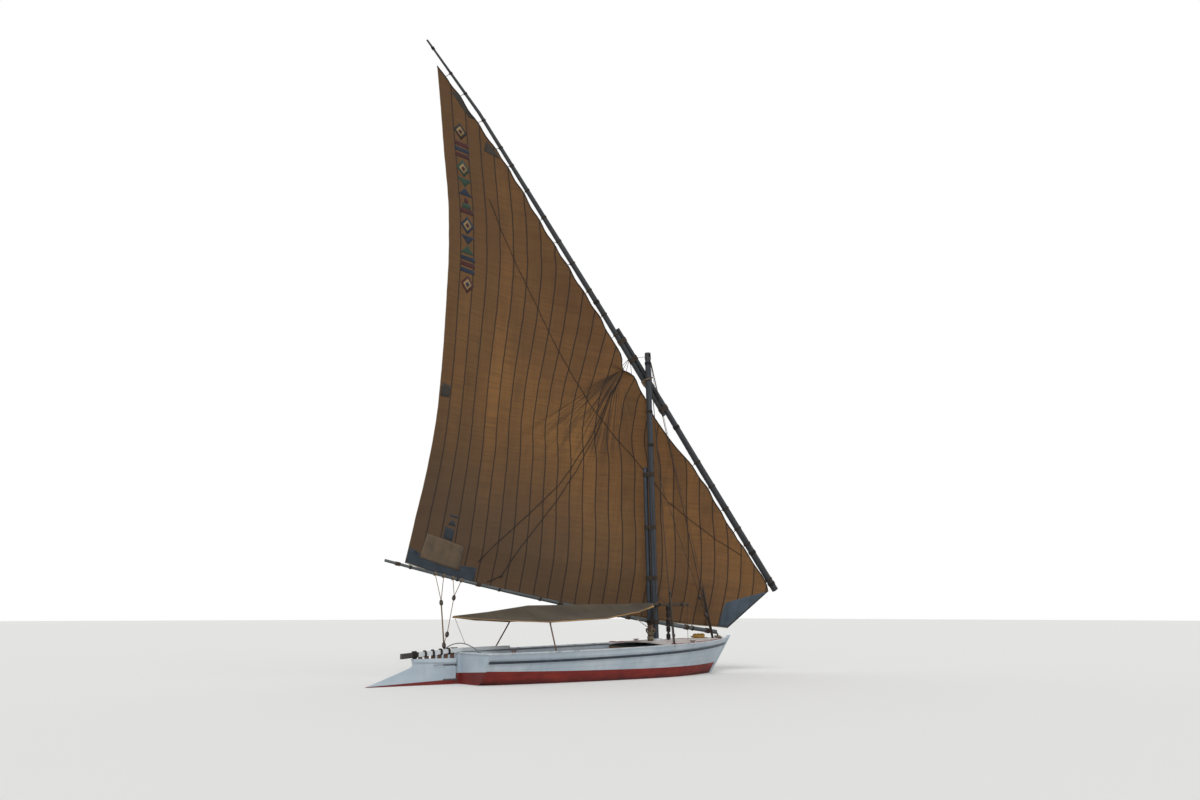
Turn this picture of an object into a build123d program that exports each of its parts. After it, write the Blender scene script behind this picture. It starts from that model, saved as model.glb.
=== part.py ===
"""Nile felucca afloat, as separate pieces. All lengths are in millimetres.

+X points to the bow, +Y to port and +Z up. The origin lies on the centreline,
at the waterline, amid the hull.
"""
import os
from math import atan2, cos, hypot, tan

from build123d import *

os.makedirs("parts", exist_ok=True)

FAR = 9000.0                # well outside the hull, for blocks that only cut or trim
SEAT = 0.3                  # gap between a piece and the one that it stands in
PIN_CLEAR = 0.4             # running gap round the rudder's pins

# Hull, fore and aft
PLANK_AFT_X = -5340.0       # where the planks butt on the transom board
TRANSOM_THICK = 60.0
STERNPOST_DEPTH = 80.0
STERNPOST_WIDTH = 140.0
FOREFOOT = (4360.0, -360.0)     # aft face of the stem post in side view: its lower end
BOW = (5560.0, 1180.0)          # and its end at the sheer
STEM_DEPTH = 114.0
STEM_DEPTH_LOW = 38.0       # at the keel
STEM_SHOULDER_Z = -150.0    # where the stem reaches its full depth
STEM_RISE = 60.0            # head of the stem above the gunwale caps
KEEL_WIDTH = 90.0
KEEL_BOTTOM_AFT = -560.0
KEEL_BOTTOM_MID = -590.0
KEEL_BOTTOM_FORE = -430.0
KEEL_MID_X = 300.0
DEADWOOD_LENGTH = 400.0     # how far the keel fills in under the tuck, ahead of the transom
DEADWOOD_RISE = 120.0
PLANK = 35.0
CAP_THICK = 40.0
CAP_OUTREACH = 25.0
CAP_INREACH = 95.0
RAIL_DEPTH = 70.0
RAIL_OUTREACH = 38.0
TOP_EXTRA = 260.0           # how far the forms run on above the sheer before they are trimmed

# Fore-and-aft lines: height aft, amid and at the bow
LINE_STATIONS = (PLANK_AFT_X, 0.0, BOW[0])
SHEER = (880.0, 975.0, BOW[1])
RAIL = (680.0, 775.0, 1040.0)
PAINT = (405.0, 330.0, 370.0)

# Stations of the hull form: x at keel, x at rail, keel z, bilge y, bilge z, rail y, bilge radius
STATIONS = (
    (PLANK_AFT_X, PLANK_AFT_X, -70.0, 1270.0, 20.0, 1745.0, 480.0),
    (-3700.0, -3700.0, -270.0, 1380.0, -170.0, 1825.0, 540.0),
    (-1700.0, -1700.0, -400.0, 1420.0, -270.0, 1862.0, 600.0),
    (300.0, 300.0, -430.0, 1360.0, -290.0, 1840.0, 600.0),
    (2200.0, 2270.0, -410.0, 1060.0, -240.0, 1630.0, 520.0),
    (3450.0, 3950.0, -370.0, 560.0, -110.0, 1090.0, 380.0),
    (FOREFOOT[0], BOW[0], FOREFOOT[1], 48.0, -190.0, 52.0, 3000.0),
)
INNER_END = 0.72            # share of the last bay where the hollow of the hull ends

# Decks and benches
AFTERDECK_TOP = 800.0
AFTERDECK_FORE_X = -3300.0
DECK_THICK = 35.0
FOREDECK_AFT_X = 1500.0
FOREDECK_CROWN = 105.0
FOREDECK_EDGE_DROP = 25.0   # edge of the foredeck below the sheer
FOREDECK_EDGE_REACH = 150.0     # how far it is drawn past the planks before it is trimmed
SOLE_TOP = 230.0
BENCH_TOP = 690.0
BENCH_INNER_Y = 980.0
BENCH_THICK = 40.0
BULKHEAD_THICK = 40.0
BULKHEAD_RISE = 240.0       # top of the fore bulkhead above the benches
# Foredeck stations: x, share of the full crown
FOREDECK_STATIONS = ((FOREDECK_AFT_X, 1.0), (3400.0, 0.9), (5200.0, 0.25))

# Mast
MAST_STEP_Z = -330.0
MAST_TOP_Z = 11020.0
MAST_BASE_X = 2283.0        # axis at the waterline
MAST_RAKE = 0.0238          # aft reach for each unit of height
MAST_BOTTOM_R = 110.0
MAST_TOP_R = 102.0
STEP_LENGTH = 640.0
STEP_WIDTH = 320.0
STEP_RISE = 60.0            # how far the step grips the mast's heel
STEP_DEPTH = 110.0
PARTNER_WIDTH = 110.0
PARTNER_HEIGHT = 60.0
MASTHEAD_HEIGHT = 230.0
MASTHEAD_FLANGE = 12.0      # the head fitting stands this far proud of the mast, below
MASTHEAD_FLANGE_TOP = 4.0   # and at its top
SHEAVE_SLOT_AFT = 45.0
SHEAVE_SLOT_FORE = 30.0
SHEAVE_SLOT_LOW = 70.0
SHEAVE_SLOT_HEIGHT = 90.0
BITT_AFT = 420.0            # the cleat post aft of the mast, on the starboard side
BITT_Y = -230.0
BITT_HEIGHT = 520.0
BITT_WIDTH = 130.0
BITT_DEPTH = 100.0          # how far the post is drawn below the deck's crown before it is cut
BITT_BAR_LENGTH = 400.0
BITT_BAR_WIDTH = 90.0
BITT_BAR_DEPTH = 70.0
BITT_BAR_SHARE = 0.7        # height of the crossbar as a share of the post's

# Standing rigging
STAY_R = 13.0
STAY_TOP_DROP = 60.0        # the stays' eyes below the mast's top
SHROUD_X = 1600.0
SHROUD_OUT = 10.0           # shroud's foot outside the inner face of the planks
FORESTAY_X = 4790.0
FORESTAY_Y = -120.0
FORESTAY_DROP = 60.0

# Rig. The tack pivot is the knot on the bow bitt, and the boom and the sail's corner hang on it.
TACK_PIVOT = (BOW[0] - 410.0, 0.0, BOW[1] + 135.0)
TACK_KNOT_R = 36.0
KNOT_LEG_SHARE = 0.7        # the knot's leg to the boom is this much thinner
BOW_BITT_WIDTH = 140.0
BOOM_FORE = (TACK_PIVOT[0], TACK_PIVOT[1] + 70.0, TACK_PIVOT[2] + 85.0)
BOOM_AFT = (-6530.0, 2980.0, 3720.0)
BOOM_SAG = 170.0            # the boom hangs this far below its line at its middle
BOOM_R = (74.0, 46.0)
BOOM_STEPS = 8
YARD_LOW = (7146.0, -986.0, 2893.0)     # the yard's line, from its lower end
YARD_PEAK = (-6036.0, 2301.0, 21870.0)
SAIL_THICK = 16.0
TACK_CORNER = (BOOM_FORE[0] + 440.0, BOOM_FORE[1] - 110.0, BOOM_FORE[2] + 140.0)
CLEW_SHARE = 0.9452         # share of the boom where the sail's after corner is
CLEW_RISE = 67.0            # and its height above the boom's line
HEAD_SHIFT = (-195.0, 46.0, 153.0)      # from the luff's top to the leech's
SLING_Z = 10300.0
SLING_ROPE_R = 26.0
SLING_CLEAR = 32.0          # the ring lies aslant, square to the line that the rig swings about
SLING_SHARE = 0.385
SLING_WRAP_LENGTH = 200.0
LASHING_WRAP_LENGTH = 160.0
WRAP_THICK = 20.0
TIE_R = 9.0
# Spars of the yard: share of the yard's line, outward offset from it, radius
LOWER_SPAR = ((0.0, 0.0, 118.0), (0.2355, 99.0, 114.0), (0.34, 172.0, 100.0), (0.478, 268.0, 62.0))
UPPER_SPAR = ((0.3253, -30.0, 66.0), (0.4, 36.0, 88.0), (0.51, 112.0, 98.0),
              (0.668, 147.0, 88.0), (0.868, 197.0, 60.0), (1.0, 0.0, 34.0))
UPPER_SPAR_FROM = 0.4       # above this share the sail hangs on the upper spar
LASHING_SHARES = (0.335, 0.425, 0.458)
LUFF_TIES = (0.0197, 0.0858, 0.1143, 0.151, 0.1923, 0.2364, 0.4713, 0.5076, 0.5512, 0.5997,
             0.6394, 0.6821, 0.7302, 0.7744, 0.806, 0.8548, 0.9031, 0.9398)
FOOT_TIES = (0.08, 0.2, 0.32, 0.44, 0.56, 0.68, 0.8, 0.93)
# Luff of the sail above its tack corner: share of the yard's line, outward offset from it
LUFF = ((0.0061, -266.0), (0.05, -135.0), (0.1923, -145.0), (0.3, -365.0), (0.4, -201.0),
        (0.5076, -85.0), (0.64, -68.0), (0.7744, 0.0), (0.86, -50.0), (0.945, -170.0))
# Leech for the same rows: share of the line from clew to head, shift forward, to starboard, belly
LEECH = ((0.0459, 143.5, 26.5, 380.0), (0.0778, 230.5, 46.8, 470.0), (0.1882, 553.0, 113.3, 680.0),
         (0.3101, 752.5, 187.7, 700.0), (0.4495, 802.6, 209.3, 640.0), (0.5656, 803.6, 204.3, 500.0),
         (0.6876, 708.1, 188.7, 310.0), (0.838, 370.5, 110.4, 130.0), (0.9199, 190.0, 54.7, 60.0),
         (1.0, 0.0, 0.0, 12.0))
FOOT_BELLY = 90.0

# Awning
AWNING_Y = -270.0
POLE_FORE_X = 3450.0
POLE_FORE_Z = 2370.0
POLE_AFT_X = -3150.0
POLE_AFT_Z = 2250.0
POLE_R = 38.0
FORE_POST_X = 2600.0
FORE_POST_R = 42.0
STANCHION_R = 22.0
STANCHION_INREACH = 20.0    # foot inside the inner face of the planks
STANCHION_HEAD_IN = 60.0    # head short of the spreader's end
SPREADER_R = 18.0
SPREADER_X = -3100.0
SPREADER_HALF = 1200.0
CANVAS_THICK = 8.0
SPREADER_DROP = 9.0         # slack of the canvas over its spreaders
# Awning canvas stations: x, half width, eave below the pole's axis
CANVAS_OVER_POLE = (
    (1900.0, 110.0, 72.0),
    (700.0, 760.0, 240.0),
    (-900.0, 1130.0, 411.0),
    (POLE_AFT_X - 10.0, SPREADER_HALF + 50.0, 471.0),
)
# The same aft of the pole, with the ridge below the line of the pole's axis at the end
CANVAS_PAST_POLE = (
    (-4600.0, 760.0, 384.0, 130.0),
    (-5800.0, 70.0, 277.0, 230.0),
)

# Sheet horse, on the transom's cap
CAP_TOP_AFT = SHEER[0] + CAP_THICK
HORSE_X = PLANK_AFT_X - TRANSOM_THICK / 2
HORSE_HALF = 1115.0
HORSE_RISE = 254.0
HORSE_R = 15.0
HORSE_FOOT = (56.0, 120.0, 22.0)    # length, width and thickness of a foot plate

# Rudder and tiller, by distance aft of the pins' axis
TRANSOM_AFT_X = PLANK_AFT_X - TRANSOM_THICK
POST_AFT_X = TRANSOM_AFT_X - STERNPOST_DEPTH
PIN_R = 14.0
EYE_R = 27.0
RUDDER_AXIS_X = POST_AFT_X - 35.0
RUDDER_SET_BACK = 13.0      # fore edge of the blade
RUDDER_FORE_X = RUDDER_AXIS_X - RUDDER_SET_BACK
RUDDER_THICK = 70.0
RUDDER_TOP = CAP_TOP_AFT - 170.0
CHEEK_THICK = 30.0
CHEEK_SET_BACK = 12.0       # fore edge of the cheeks aft of the blade's
GUDGEON_HEIGHTS = (-380.0, 120.0, 540.0)
GUDGEON_THICK = 22.0
PINTLE_LIFT = 5.0           # knuckle above the eye that it turns on
KNUCKLE_HEIGHT = 24.0
KNUCKLE_R = 23.0
PIN_TAIL = 17.0             # pin below its eye
STRAP_THICK = 8.0
STRAP_DEPTH = 42.0
STRAP_LENGTH = 420.0
NOTCH_CLEAR = 6.0           # above and below the pin in the blade's notch
NOTCH_REACH = EYE_R + 14.0  # notch aft of the axis
# Rudder blade in side view above and aft of its heel: distance aft, z
RUDDER_OUTLINE = (
    (RUDDER_SET_BACK, RUDDER_TOP), (1465.0, RUDDER_TOP), (1415.0, RUDDER_TOP - 180.0), (1505.0, 490.0),
    (2875.0, 0.0), (2925.0, -90.0), (2815.0, -330.0), (2565.0, -500.0), (2185.0, KEEL_BOTTOM_AFT),
    (RUDDER_SET_BACK, KEEL_BOTTOM_AFT),
)
CHEEK_OUTLINE = (
    (RUDDER_SET_BACK + CHEEK_SET_BACK, RUDDER_TOP), (1435.0, RUDDER_TOP), (1410.0, RUDDER_TOP - 95.0),
    (RUDDER_SET_BACK + CHEEK_SET_BACK, RUDDER_TOP - 130.0),
)
# Tiller in side view: distance aft, lower and upper edge above the rudder's head
TILLER_WIDTH = 120.0
TILLER_STATIONS = ((1805.0, 2.0, 155.0), (-165.0, 188.0, 295.0), (-1855.0, 235.0, 328.0))
CHOCK_FIRST = 135.0
CHOCK_PITCH = 210.0
CHOCK_COUNT = 6
CHOCK_LENGTH = 110.0
CHOCK_WIDTH = 70.0
LASHING_AFT = 1375.0
LASHING_R = 112.0
LASHING_LENGTH = 130.0


def height(line, x):
    """Height of a fore-and-aft line at x, on the parabola through its three stations."""
    x0, x1, x2 = LINE_STATIONS
    z0, z1, z2 = line
    return (z0 * (x - x1) * (x - x2) / ((x0 - x1) * (x0 - x2))
            + z1 * (x - x0) * (x - x2) / ((x1 - x0) * (x1 - x2))
            + z2 * (x - x0) * (x - x1) / ((x2 - x0) * (x2 - x1)))


def band(lower, lower_lift, upper, upper_lift):
    """Block across the whole hull between two fore-and-aft lines."""
    low = [(x, 0, height(lower, x) + lower_lift) for x in (-FAR, 0, FAR)]
    top = [(x, 0, height(upper, x) + upper_lift) for x in (FAR, 0, -FAR)]
    edges = [ThreePointArc(*low), Line(low[2], top[0]), ThreePointArc(*top), Line(top[2], low[0])]
    return extrude(make_face(edges), amount=FAR, dir=(0, 1, 0), both=True)


def block(x0, x1, y0, y1, z0, z1):
    """Box given by any two opposite corners."""
    middle = Pos((x0 + x1) / 2, (y0 + y1) / 2, (z0 + z1) / 2)
    return middle * Box(abs(x1 - x0), abs(y1 - y0), abs(z1 - z0))


def side_view(points, width):
    """Board on the centreline whose outline is given in side view as (x, z)."""
    outline = make_face(Polyline([(x, 0, z) for x, z in points], close=True))
    return extrude(outline, amount=width / 2, dir=(0, 1, 0), both=True)


def spar(start, end, r_start, r_end):
    """Round spar between two points, tapered where its end radii differ."""
    axis = Vector(end) - Vector(start)
    plane = Plane(origin=start, z_dir=axis)
    if r_start == r_end:
        return Solid.make_cylinder(r_start, axis.length, plane)
    return Solid.make_cone(r_start, r_end, axis.length, plane)


def main_solid(shape):
    """The largest solid of a shape that a cut has left in several."""
    return max(shape.solids(), key=lambda solid: solid.volume)


def along(start, end, share):
    """Point at a share of the way from start to end."""
    return Vector(start) + (Vector(end) - Vector(start)) * share


def stations_with_hollow_end():
    """The stations, with the stem's replaced by one a little further aft."""
    a, b = STATIONS[-2], STATIONS[-1]
    end = [p + (q - p) * INNER_END for p, q in zip(a, b)]
    end[6] = a[6] * 0.5
    return STATIONS[:-1] + (tuple(end),)


def station_face(row, inset):
    """Closed outline of one station, moved inwards by inset, in its own canted plane."""
    x_keel, x_rail, z_keel, y_bilge, z_bilge, y_rail, r_bilge = row
    z_rail = height(SHEER, x_rail)
    run = hypot(x_rail - x_keel, z_rail - z_keel)
    stretch = run / (z_rail - z_keel)
    keel = Vector(KEEL_WIDTH / 2, 0)
    bilge = Vector(y_bilge, (z_bilge - z_keel) * stretch)
    rail = Vector(y_rail, run)
    floor_dir = (bilge - keel).normalized()
    side_dir = (rail - bilge).normalized()
    floor_in = Vector(-floor_dir.Y, floor_dir.X) * inset
    side_in = Vector(-side_dir.Y, side_dir.X) * inset
    keel = keel + floor_in
    if inset > 0:
        keel += floor_dir * ((KEEL_WIDTH / 2 - keel.X) / floor_dir.X)
    top = rail + side_in + side_dir * TOP_EXTRA
    # the moved floor and side lines meet at the new bilge corner
    gap = (top - keel)
    cross = floor_dir.X * side_dir.Y - floor_dir.Y * side_dir.X
    reach = (gap.X * side_dir.Y - gap.Y * side_dir.X) / cross
    bilge = keel + floor_dir * reach
    turn = atan2(side_dir.Y, side_dir.X) - atan2(floor_dir.Y, floor_dir.X)
    # the bilge turns no wider than the floor allows
    radius = min(max(r_bilge - inset, r_bilge / 2), 0.8 * reach / tan(turn / 2))
    tangent = radius * tan(turn / 2)
    arc_start = bilge - floor_dir * tangent
    arc_end = bilge + side_dir * tangent
    inwards = (side_dir - floor_dir).normalized()
    arc_mid = bilge + inwards * (radius / cos(turn / 2) - radius)

    def place(point, side):
        share = point.Y / run
        return (x_keel + (x_rail - x_keel) * share, side * point.X,
                z_keel + (z_rail - z_keel) * share)

    p = [place(v, 1) for v in (keel, arc_start, arc_mid, arc_end, top)]
    s = [place(v, -1) for v in (keel, arc_start, arc_mid, arc_end, top)]
    edges = [Line(s[0], p[0]), Line(p[0], p[1]), ThreePointArc(p[1], p[2], p[3]), Line(p[3], p[4]),
             Line(p[4], s[4]), Line(s[4], s[3]), ThreePointArc(s[3], s[2], s[1]), Line(s[1], s[0])]
    return make_face(edges)


def hull_form(inset, hollow=False):
    """Solid hull form, moved inwards by inset and left open above the sheer."""
    rows = stations_with_hollow_end() if hollow else STATIONS
    return loft([station_face(row, inset) for row in rows])


OUTER = hull_form(0)
INNER = hull_form(PLANK, hollow=True)
PORT_SIDE = block(-FAR, FAR, 0, FAR, -FAR, FAR)
STARBOARD_SIDE = block(-FAR, FAR, -FAR, 0, -FAR, FAR)


def hull_planking():
    """Bottom and both sides: the shell between the outer and the inner form."""
    shell = OUTER - INNER
    bottom = shell - band(PAINT, 0, PAINT, FAR)
    sides = shell & band(PAINT, 0, SHEER, 0)
    return {"hull_bottom": bottom,
            "side_port": sides & PORT_SIDE,
            "side_starboard": sides & STARBOARD_SIDE}


def rails_and_caps():
    """Rub rails outside the planks, and the gunwale caps on top of them."""
    rail = (hull_form(-RAIL_OUTREACH) - OUTER) & band(RAIL, -RAIL_DEPTH, RAIL, 0)
    cap = hull_form(-CAP_OUTREACH) - hull_form(CAP_INREACH, hollow=True)
    cap = cap & band(SHEER, 0, SHEER, CAP_THICK)
    return {"rub_rail_port": rail & PORT_SIDE, "rub_rail_starboard": rail & STARBOARD_SIDE,
            "gunwale_port": cap & PORT_SIDE, "gunwale_starboard": cap & STARBOARD_SIDE}


def stem_x(z, ahead=0.0):
    """X of the stem's aft face at height z, or of a line that runs ahead of it."""
    rake = (BOW[0] - FOREFOOT[0]) / (BOW[1] - FOREFOOT[1])
    return FOREFOOT[0] + rake * (z - FOREFOOT[1]) + ahead


def backbone():
    """Transom, sternpost, keel and stem post."""
    sheer_aft = height(SHEER, PLANK_AFT_X)
    transom = extrude(station_face(STATIONS[0], 0), amount=TRANSOM_THICK, dir=(-1, 0, 0))
    transom &= block(-FAR, 0, -FAR, FAR, -FAR, sheer_aft)
    half = STERNPOST_WIDTH / 2
    sternpost = block(POST_AFT_X, TRANSOM_AFT_X, -half, half, KEEL_BOTTOM_AFT, sheer_aft)
    heel = STATIONS[0][2]
    keel = side_view([(TRANSOM_AFT_X, KEEL_BOTTOM_AFT), (KEEL_MID_X, KEEL_BOTTOM_MID),
                      (stem_x(KEEL_BOTTOM_FORE), KEEL_BOTTOM_FORE), (stem_x(0), 0),
                      (PLANK_AFT_X + DEADWOOD_LENGTH, heel + DEADWOOD_RISE), (PLANK_AFT_X, heel),
                      (TRANSOM_AFT_X, heel)], KEEL_WIDTH)
    keel -= OUTER
    head = BOW[1] + CAP_THICK + STEM_RISE
    stem = side_view([(stem_x(KEEL_BOTTOM_FORE), KEEL_BOTTOM_FORE),
                      (stem_x(KEEL_BOTTOM_FORE, STEM_DEPTH_LOW), KEEL_BOTTOM_FORE),
                      (stem_x(STEM_SHOULDER_Z, STEM_DEPTH), STEM_SHOULDER_Z),
                      (stem_x(head, STEM_DEPTH), head), (stem_x(head), head)], KEEL_WIDTH)
    cap_half = STATIONS[0][5] + CAP_OUTREACH
    transom_cap = block(TRANSOM_AFT_X - CAP_OUTREACH, PLANK_AFT_X, -cap_half, cap_half,
                        sheer_aft, sheer_aft + CAP_THICK)
    return {"transom": transom, "sternpost": sternpost, "keel": keel, "stem": stem,
            "transom_cap": transom_cap}


def breadth(x, z):
    """Inner half breadth of the side planks near height z, from the stations' straight sides."""
    for a, b in zip(STATIONS, STATIONS[1:]):
        if a[1] <= x <= b[1]:
            share = (x - a[1]) / (b[1] - a[1])
            row = [p + (q - p) * share for p, q in zip(a, b)]
            rise = (z - row[4]) / (height(SHEER, x) - row[4])
            return row[3] + (row[5] - row[3]) * rise - PLANK
    return STATIONS[-1][5]


def foredeck_slab():
    """Cambered slab over the fore part of the hull."""
    faces = []
    for x, crown_share in FOREDECK_STATIONS:
        edge_y = breadth(x, height(SHEER, x)) + FOREDECK_EDGE_REACH
        edge_z = height(SHEER, x) - FOREDECK_EDGE_DROP
        crown_z = height(SHEER, x) + FOREDECK_CROWN * crown_share
        top = ThreePointArc((x, -edge_y, edge_z), (x, 0, crown_z), (x, edge_y, edge_z))
        under = ThreePointArc((x, edge_y, edge_z - DECK_THICK), (x, 0, crown_z - DECK_THICK),
                              (x, -edge_y, edge_z - DECK_THICK))
        sides = [Line(top @ 1, under @ 0), Line(under @ 1, top @ 0)]
        faces.append(make_face([top, sides[0], under, sides[1]]))
    return loft(faces)


def mast_x(z):
    """X of the mast's axis at height z."""
    return MAST_BASE_X - MAST_RAKE * z


def mast_r(z):
    """Radius of the mast at height z."""
    share = (z - MAST_STEP_Z) / (MAST_TOP_Z - MAST_STEP_Z)
    return MAST_BOTTOM_R + (MAST_TOP_R - MAST_BOTTOM_R) * share


def mast_solid(grow=0.0):
    """The mast, or the hole that it stands in when grow is positive."""
    return spar((mast_x(MAST_STEP_Z), 0, MAST_STEP_Z), (mast_x(MAST_TOP_Z), 0, MAST_TOP_Z),
                MAST_BOTTOM_R + grow, MAST_TOP_R + grow)


def decks():
    """Foredeck, afterdeck, sole, benches and bulkheads, each cut to the inner form."""
    room = hull_form(PLANK + 1, hollow=True)
    under_cap = hull_form(CAP_INREACH + 1, hollow=True)
    foredeck = foredeck_slab() & under_cap & block(FOREDECK_AFT_X, FAR, -FAR, FAR, 0, FAR)
    foredeck -= mast_solid(SEAT)
    afterdeck = room & block(PLANK_AFT_X + SEAT, AFTERDECK_FORE_X, -FAR, FAR,
                             AFTERDECK_TOP - DECK_THICK, AFTERDECK_TOP)
    sole = room & block(AFTERDECK_FORE_X, FOREDECK_AFT_X, -BENCH_INNER_Y, BENCH_INNER_Y,
                        SOLE_TOP - DECK_THICK, SOLE_TOP)
    result = {"foredeck": foredeck, "afterdeck": afterdeck, "cockpit_sole": sole}
    for name, side in (("port", 1), ("starboard", -1)):
        y = (side * BENCH_INNER_Y, side * FAR)
        y_front = (side * BENCH_INNER_Y, side * (BENCH_INNER_Y + BENCH_THICK))
        seat = block(AFTERDECK_FORE_X, FOREDECK_AFT_X, *y, BENCH_TOP - BENCH_THICK, BENCH_TOP)
        front = block(AFTERDECK_FORE_X, FOREDECK_AFT_X, *y_front, SOLE_TOP - DECK_THICK,
                      BENCH_TOP - BENCH_THICK)
        result["bench_" + name] = room & (seat + front)
    aft = block(AFTERDECK_FORE_X - BULKHEAD_THICK, AFTERDECK_FORE_X, -FAR, FAR,
                -FAR, AFTERDECK_TOP - DECK_THICK)
    fore = block(FOREDECK_AFT_X, FOREDECK_AFT_X + BULKHEAD_THICK, -FAR, FAR,
                 -FAR, BENCH_TOP + BULKHEAD_RISE)
    result["aft_bulkhead"] = room & aft
    result["fore_bulkhead"] = room & fore
    return result


def mast_parts():
    """Mast, its step, its partners on deck, its head fitting and the bitt beside it."""
    deck_z = height(SHEER, MAST_BASE_X) + FOREDECK_CROWN
    step_x, step_y = STEP_LENGTH / 2, STEP_WIDTH / 2
    step = INNER & block(mast_x(0) - step_x, mast_x(0) + step_x, -step_y, step_y,
                         MAST_STEP_Z - STEP_DEPTH, MAST_STEP_Z + STEP_RISE)
    step -= mast_solid(SEAT)
    ring_r = mast_r(deck_z) + PARTNER_WIDTH
    ring = Pos(mast_x(deck_z), 0, deck_z) * Cylinder(ring_r, 2 * PARTNER_HEIGHT)
    under_deck = block(-FAR, FAR, -FAR, FAR, -FAR, deck_z - DECK_THICK - 1)
    partners = main_solid(ring - mast_solid(SEAT) - foredeck_slab() - under_deck)
    top = (mast_x(MAST_TOP_Z), 0, MAST_TOP_Z)
    head_z = MAST_TOP_Z + MASTHEAD_HEIGHT
    head = spar(top, (mast_x(head_z), 0, head_z),
                MAST_TOP_R + MASTHEAD_FLANGE, MAST_TOP_R + MASTHEAD_FLANGE_TOP)
    slot_z = MAST_TOP_Z + SHEAVE_SLOT_LOW
    head -= block(top[0] - SHEAVE_SLOT_AFT, top[0] + SHEAVE_SLOT_FORE, -FAR, FAR,
                  slot_z, slot_z + SHEAVE_SLOT_HEIGHT)
    bitt_x, half = mast_x(deck_z) - BITT_AFT, BITT_WIDTH / 2
    bitt = block(bitt_x - half, bitt_x + half, BITT_Y - half, BITT_Y + half,
                 deck_z - BITT_DEPTH, deck_z + BITT_HEIGHT)
    bar = Pos(bitt_x, BITT_Y, deck_z + BITT_HEIGHT * BITT_BAR_SHARE)
    bitt += bar * Box(BITT_BAR_WIDTH, BITT_BAR_LENGTH, BITT_BAR_DEPTH)
    return {"mast": mast_solid(), "mast_step": step, "mast_partners": partners, "masthead": head,
            "mast_bitt": main_solid(bitt - foredeck_slab())}


def bow_bitt():
    """Samson post on the bow, whose head carries the knot at the foot of the rig."""
    x, _, z = TACK_PIVOT
    half = BOW_BITT_WIDTH / 2
    post = block(x - half, x + half, -half, half, height(SHEER, x), z - TACK_KNOT_R - SEAT)
    return {"bow_bitt": post - band(SHEER, -FAR, SHEER, CAP_THICK)}


def horse():
    """Steel arch across the stern that the sheet block runs on, on two foot plates."""
    path = ThreePointArc((HORSE_X, -HORSE_HALF, CAP_TOP_AFT), (HORSE_X, 0, CAP_TOP_AFT + HORSE_RISE),
                         (HORSE_X, HORSE_HALF, CAP_TOP_AFT))
    start = Plane(origin=path @ 0, z_dir=path % 0)
    arch = sweep(start * Circle(HORSE_R), path)
    length, width, thick = HORSE_FOOT
    for y in (-HORSE_HALF, HORSE_HALF):
        arch += Pos(HORSE_X, y, CAP_TOP_AFT + thick / 2) * Box(length, width, thick)
    return {"sheet_horse": arch & block(-FAR, FAR, -FAR, FAR, CAP_TOP_AFT, FAR)}


def pole_z(x):
    """Height of the awning's ridge pole at x."""
    share = (x - POLE_AFT_X) / (POLE_FORE_X - POLE_AFT_X)
    return POLE_AFT_Z + (POLE_FORE_Z - POLE_AFT_Z) * share


def canvas_rise(half, eave_drop):
    """Height of the canvas's ridge over the pole's axis where both its slopes just clear the pole."""
    reach = POLE_R + SEAT
    tangent = (half ** 2 + eave_drop ** 2 - reach ** 2) ** 0.5
    return reach * (reach * eave_drop + half * tangent) / (half ** 2 - reach ** 2)


def under_canvas(y):
    """Height of a spreader's axis, just below the canvas, at a distance y from the ridge."""
    _, half, eave_drop = CANVAS_OVER_POLE[-1]
    rise = canvas_rise(half, eave_drop)
    slope = (rise + eave_drop) / half
    gap = (SPREADER_R + SPREADER_DROP) * hypot(1, slope)
    return pole_z(SPREADER_X) + rise - y * slope - gap


def awning():
    """Canvas fly with its ridge pole, fore post, side stanchions and spreaders."""
    faces = []
    rows = [(x, half, eave_drop, -canvas_rise(half, eave_drop)) for x, half, eave_drop in CANVAS_OVER_POLE]
    for x, half, eave_drop, ridge_drop in [*rows, *CANVAS_PAST_POLE]:
        ridge = pole_z(x) - ridge_drop
        eave_z = pole_z(x) - eave_drop
        top = [(x, AWNING_Y - half, eave_z + CANVAS_THICK), (x, AWNING_Y, ridge + CANVAS_THICK),
               (x, AWNING_Y + half, eave_z + CANVAS_THICK)]
        low = [(x, AWNING_Y + half, eave_z), (x, AWNING_Y, ridge), (x, AWNING_Y - half, eave_z)]
        faces.append(make_face(Polyline(top + low, close=True)))
    canvas = loft(faces, ruled=True)
    pole = spar((POLE_AFT_X, AWNING_Y, POLE_AFT_Z), (POLE_FORE_X, AWNING_Y, POLE_FORE_Z), POLE_R, POLE_R)
    post = spar((FORE_POST_X, AWNING_Y, height(SHEER, FORE_POST_X)),
                (FORE_POST_X, AWNING_Y, pole_z(FORE_POST_X)), FORE_POST_R, FORE_POST_R)
    post = main_solid(post - foredeck_slab() - pole)
    result = {"awning_canvas": canvas, "awning_pole": pole, "awning_post": post}
    sheer_z = height(SHEER, SPREADER_X)
    spreaders = []
    for name, side in (("port", 1), ("starboard", -1)):
        inner = (SPREADER_X, AWNING_Y, under_canvas(0))
        outer = (SPREADER_X, AWNING_Y + side * SPREADER_HALF, under_canvas(SPREADER_HALF))
        spreader = spar(inner, outer, SPREADER_R, SPREADER_R)
        foot = (SPREADER_X, side * (breadth(SPREADER_X, sheer_z) - STANCHION_INREACH), sheer_z)
        reach = SPREADER_HALF - STANCHION_HEAD_IN
        head = (SPREADER_X, AWNING_Y + side * reach, under_canvas(reach))
        stanchion = spar(foot, head, STANCHION_R, STANCHION_R)
        stanchion = main_solid(stanchion - spreader - band(SHEER, -FAR, SHEER, CAP_THICK))
        result["stanchion_" + name] = stanchion
        spreaders.append(main_solid(spreader - pole))
    result["awning_spreaders"] = Compound(spreaders)
    return result


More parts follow.
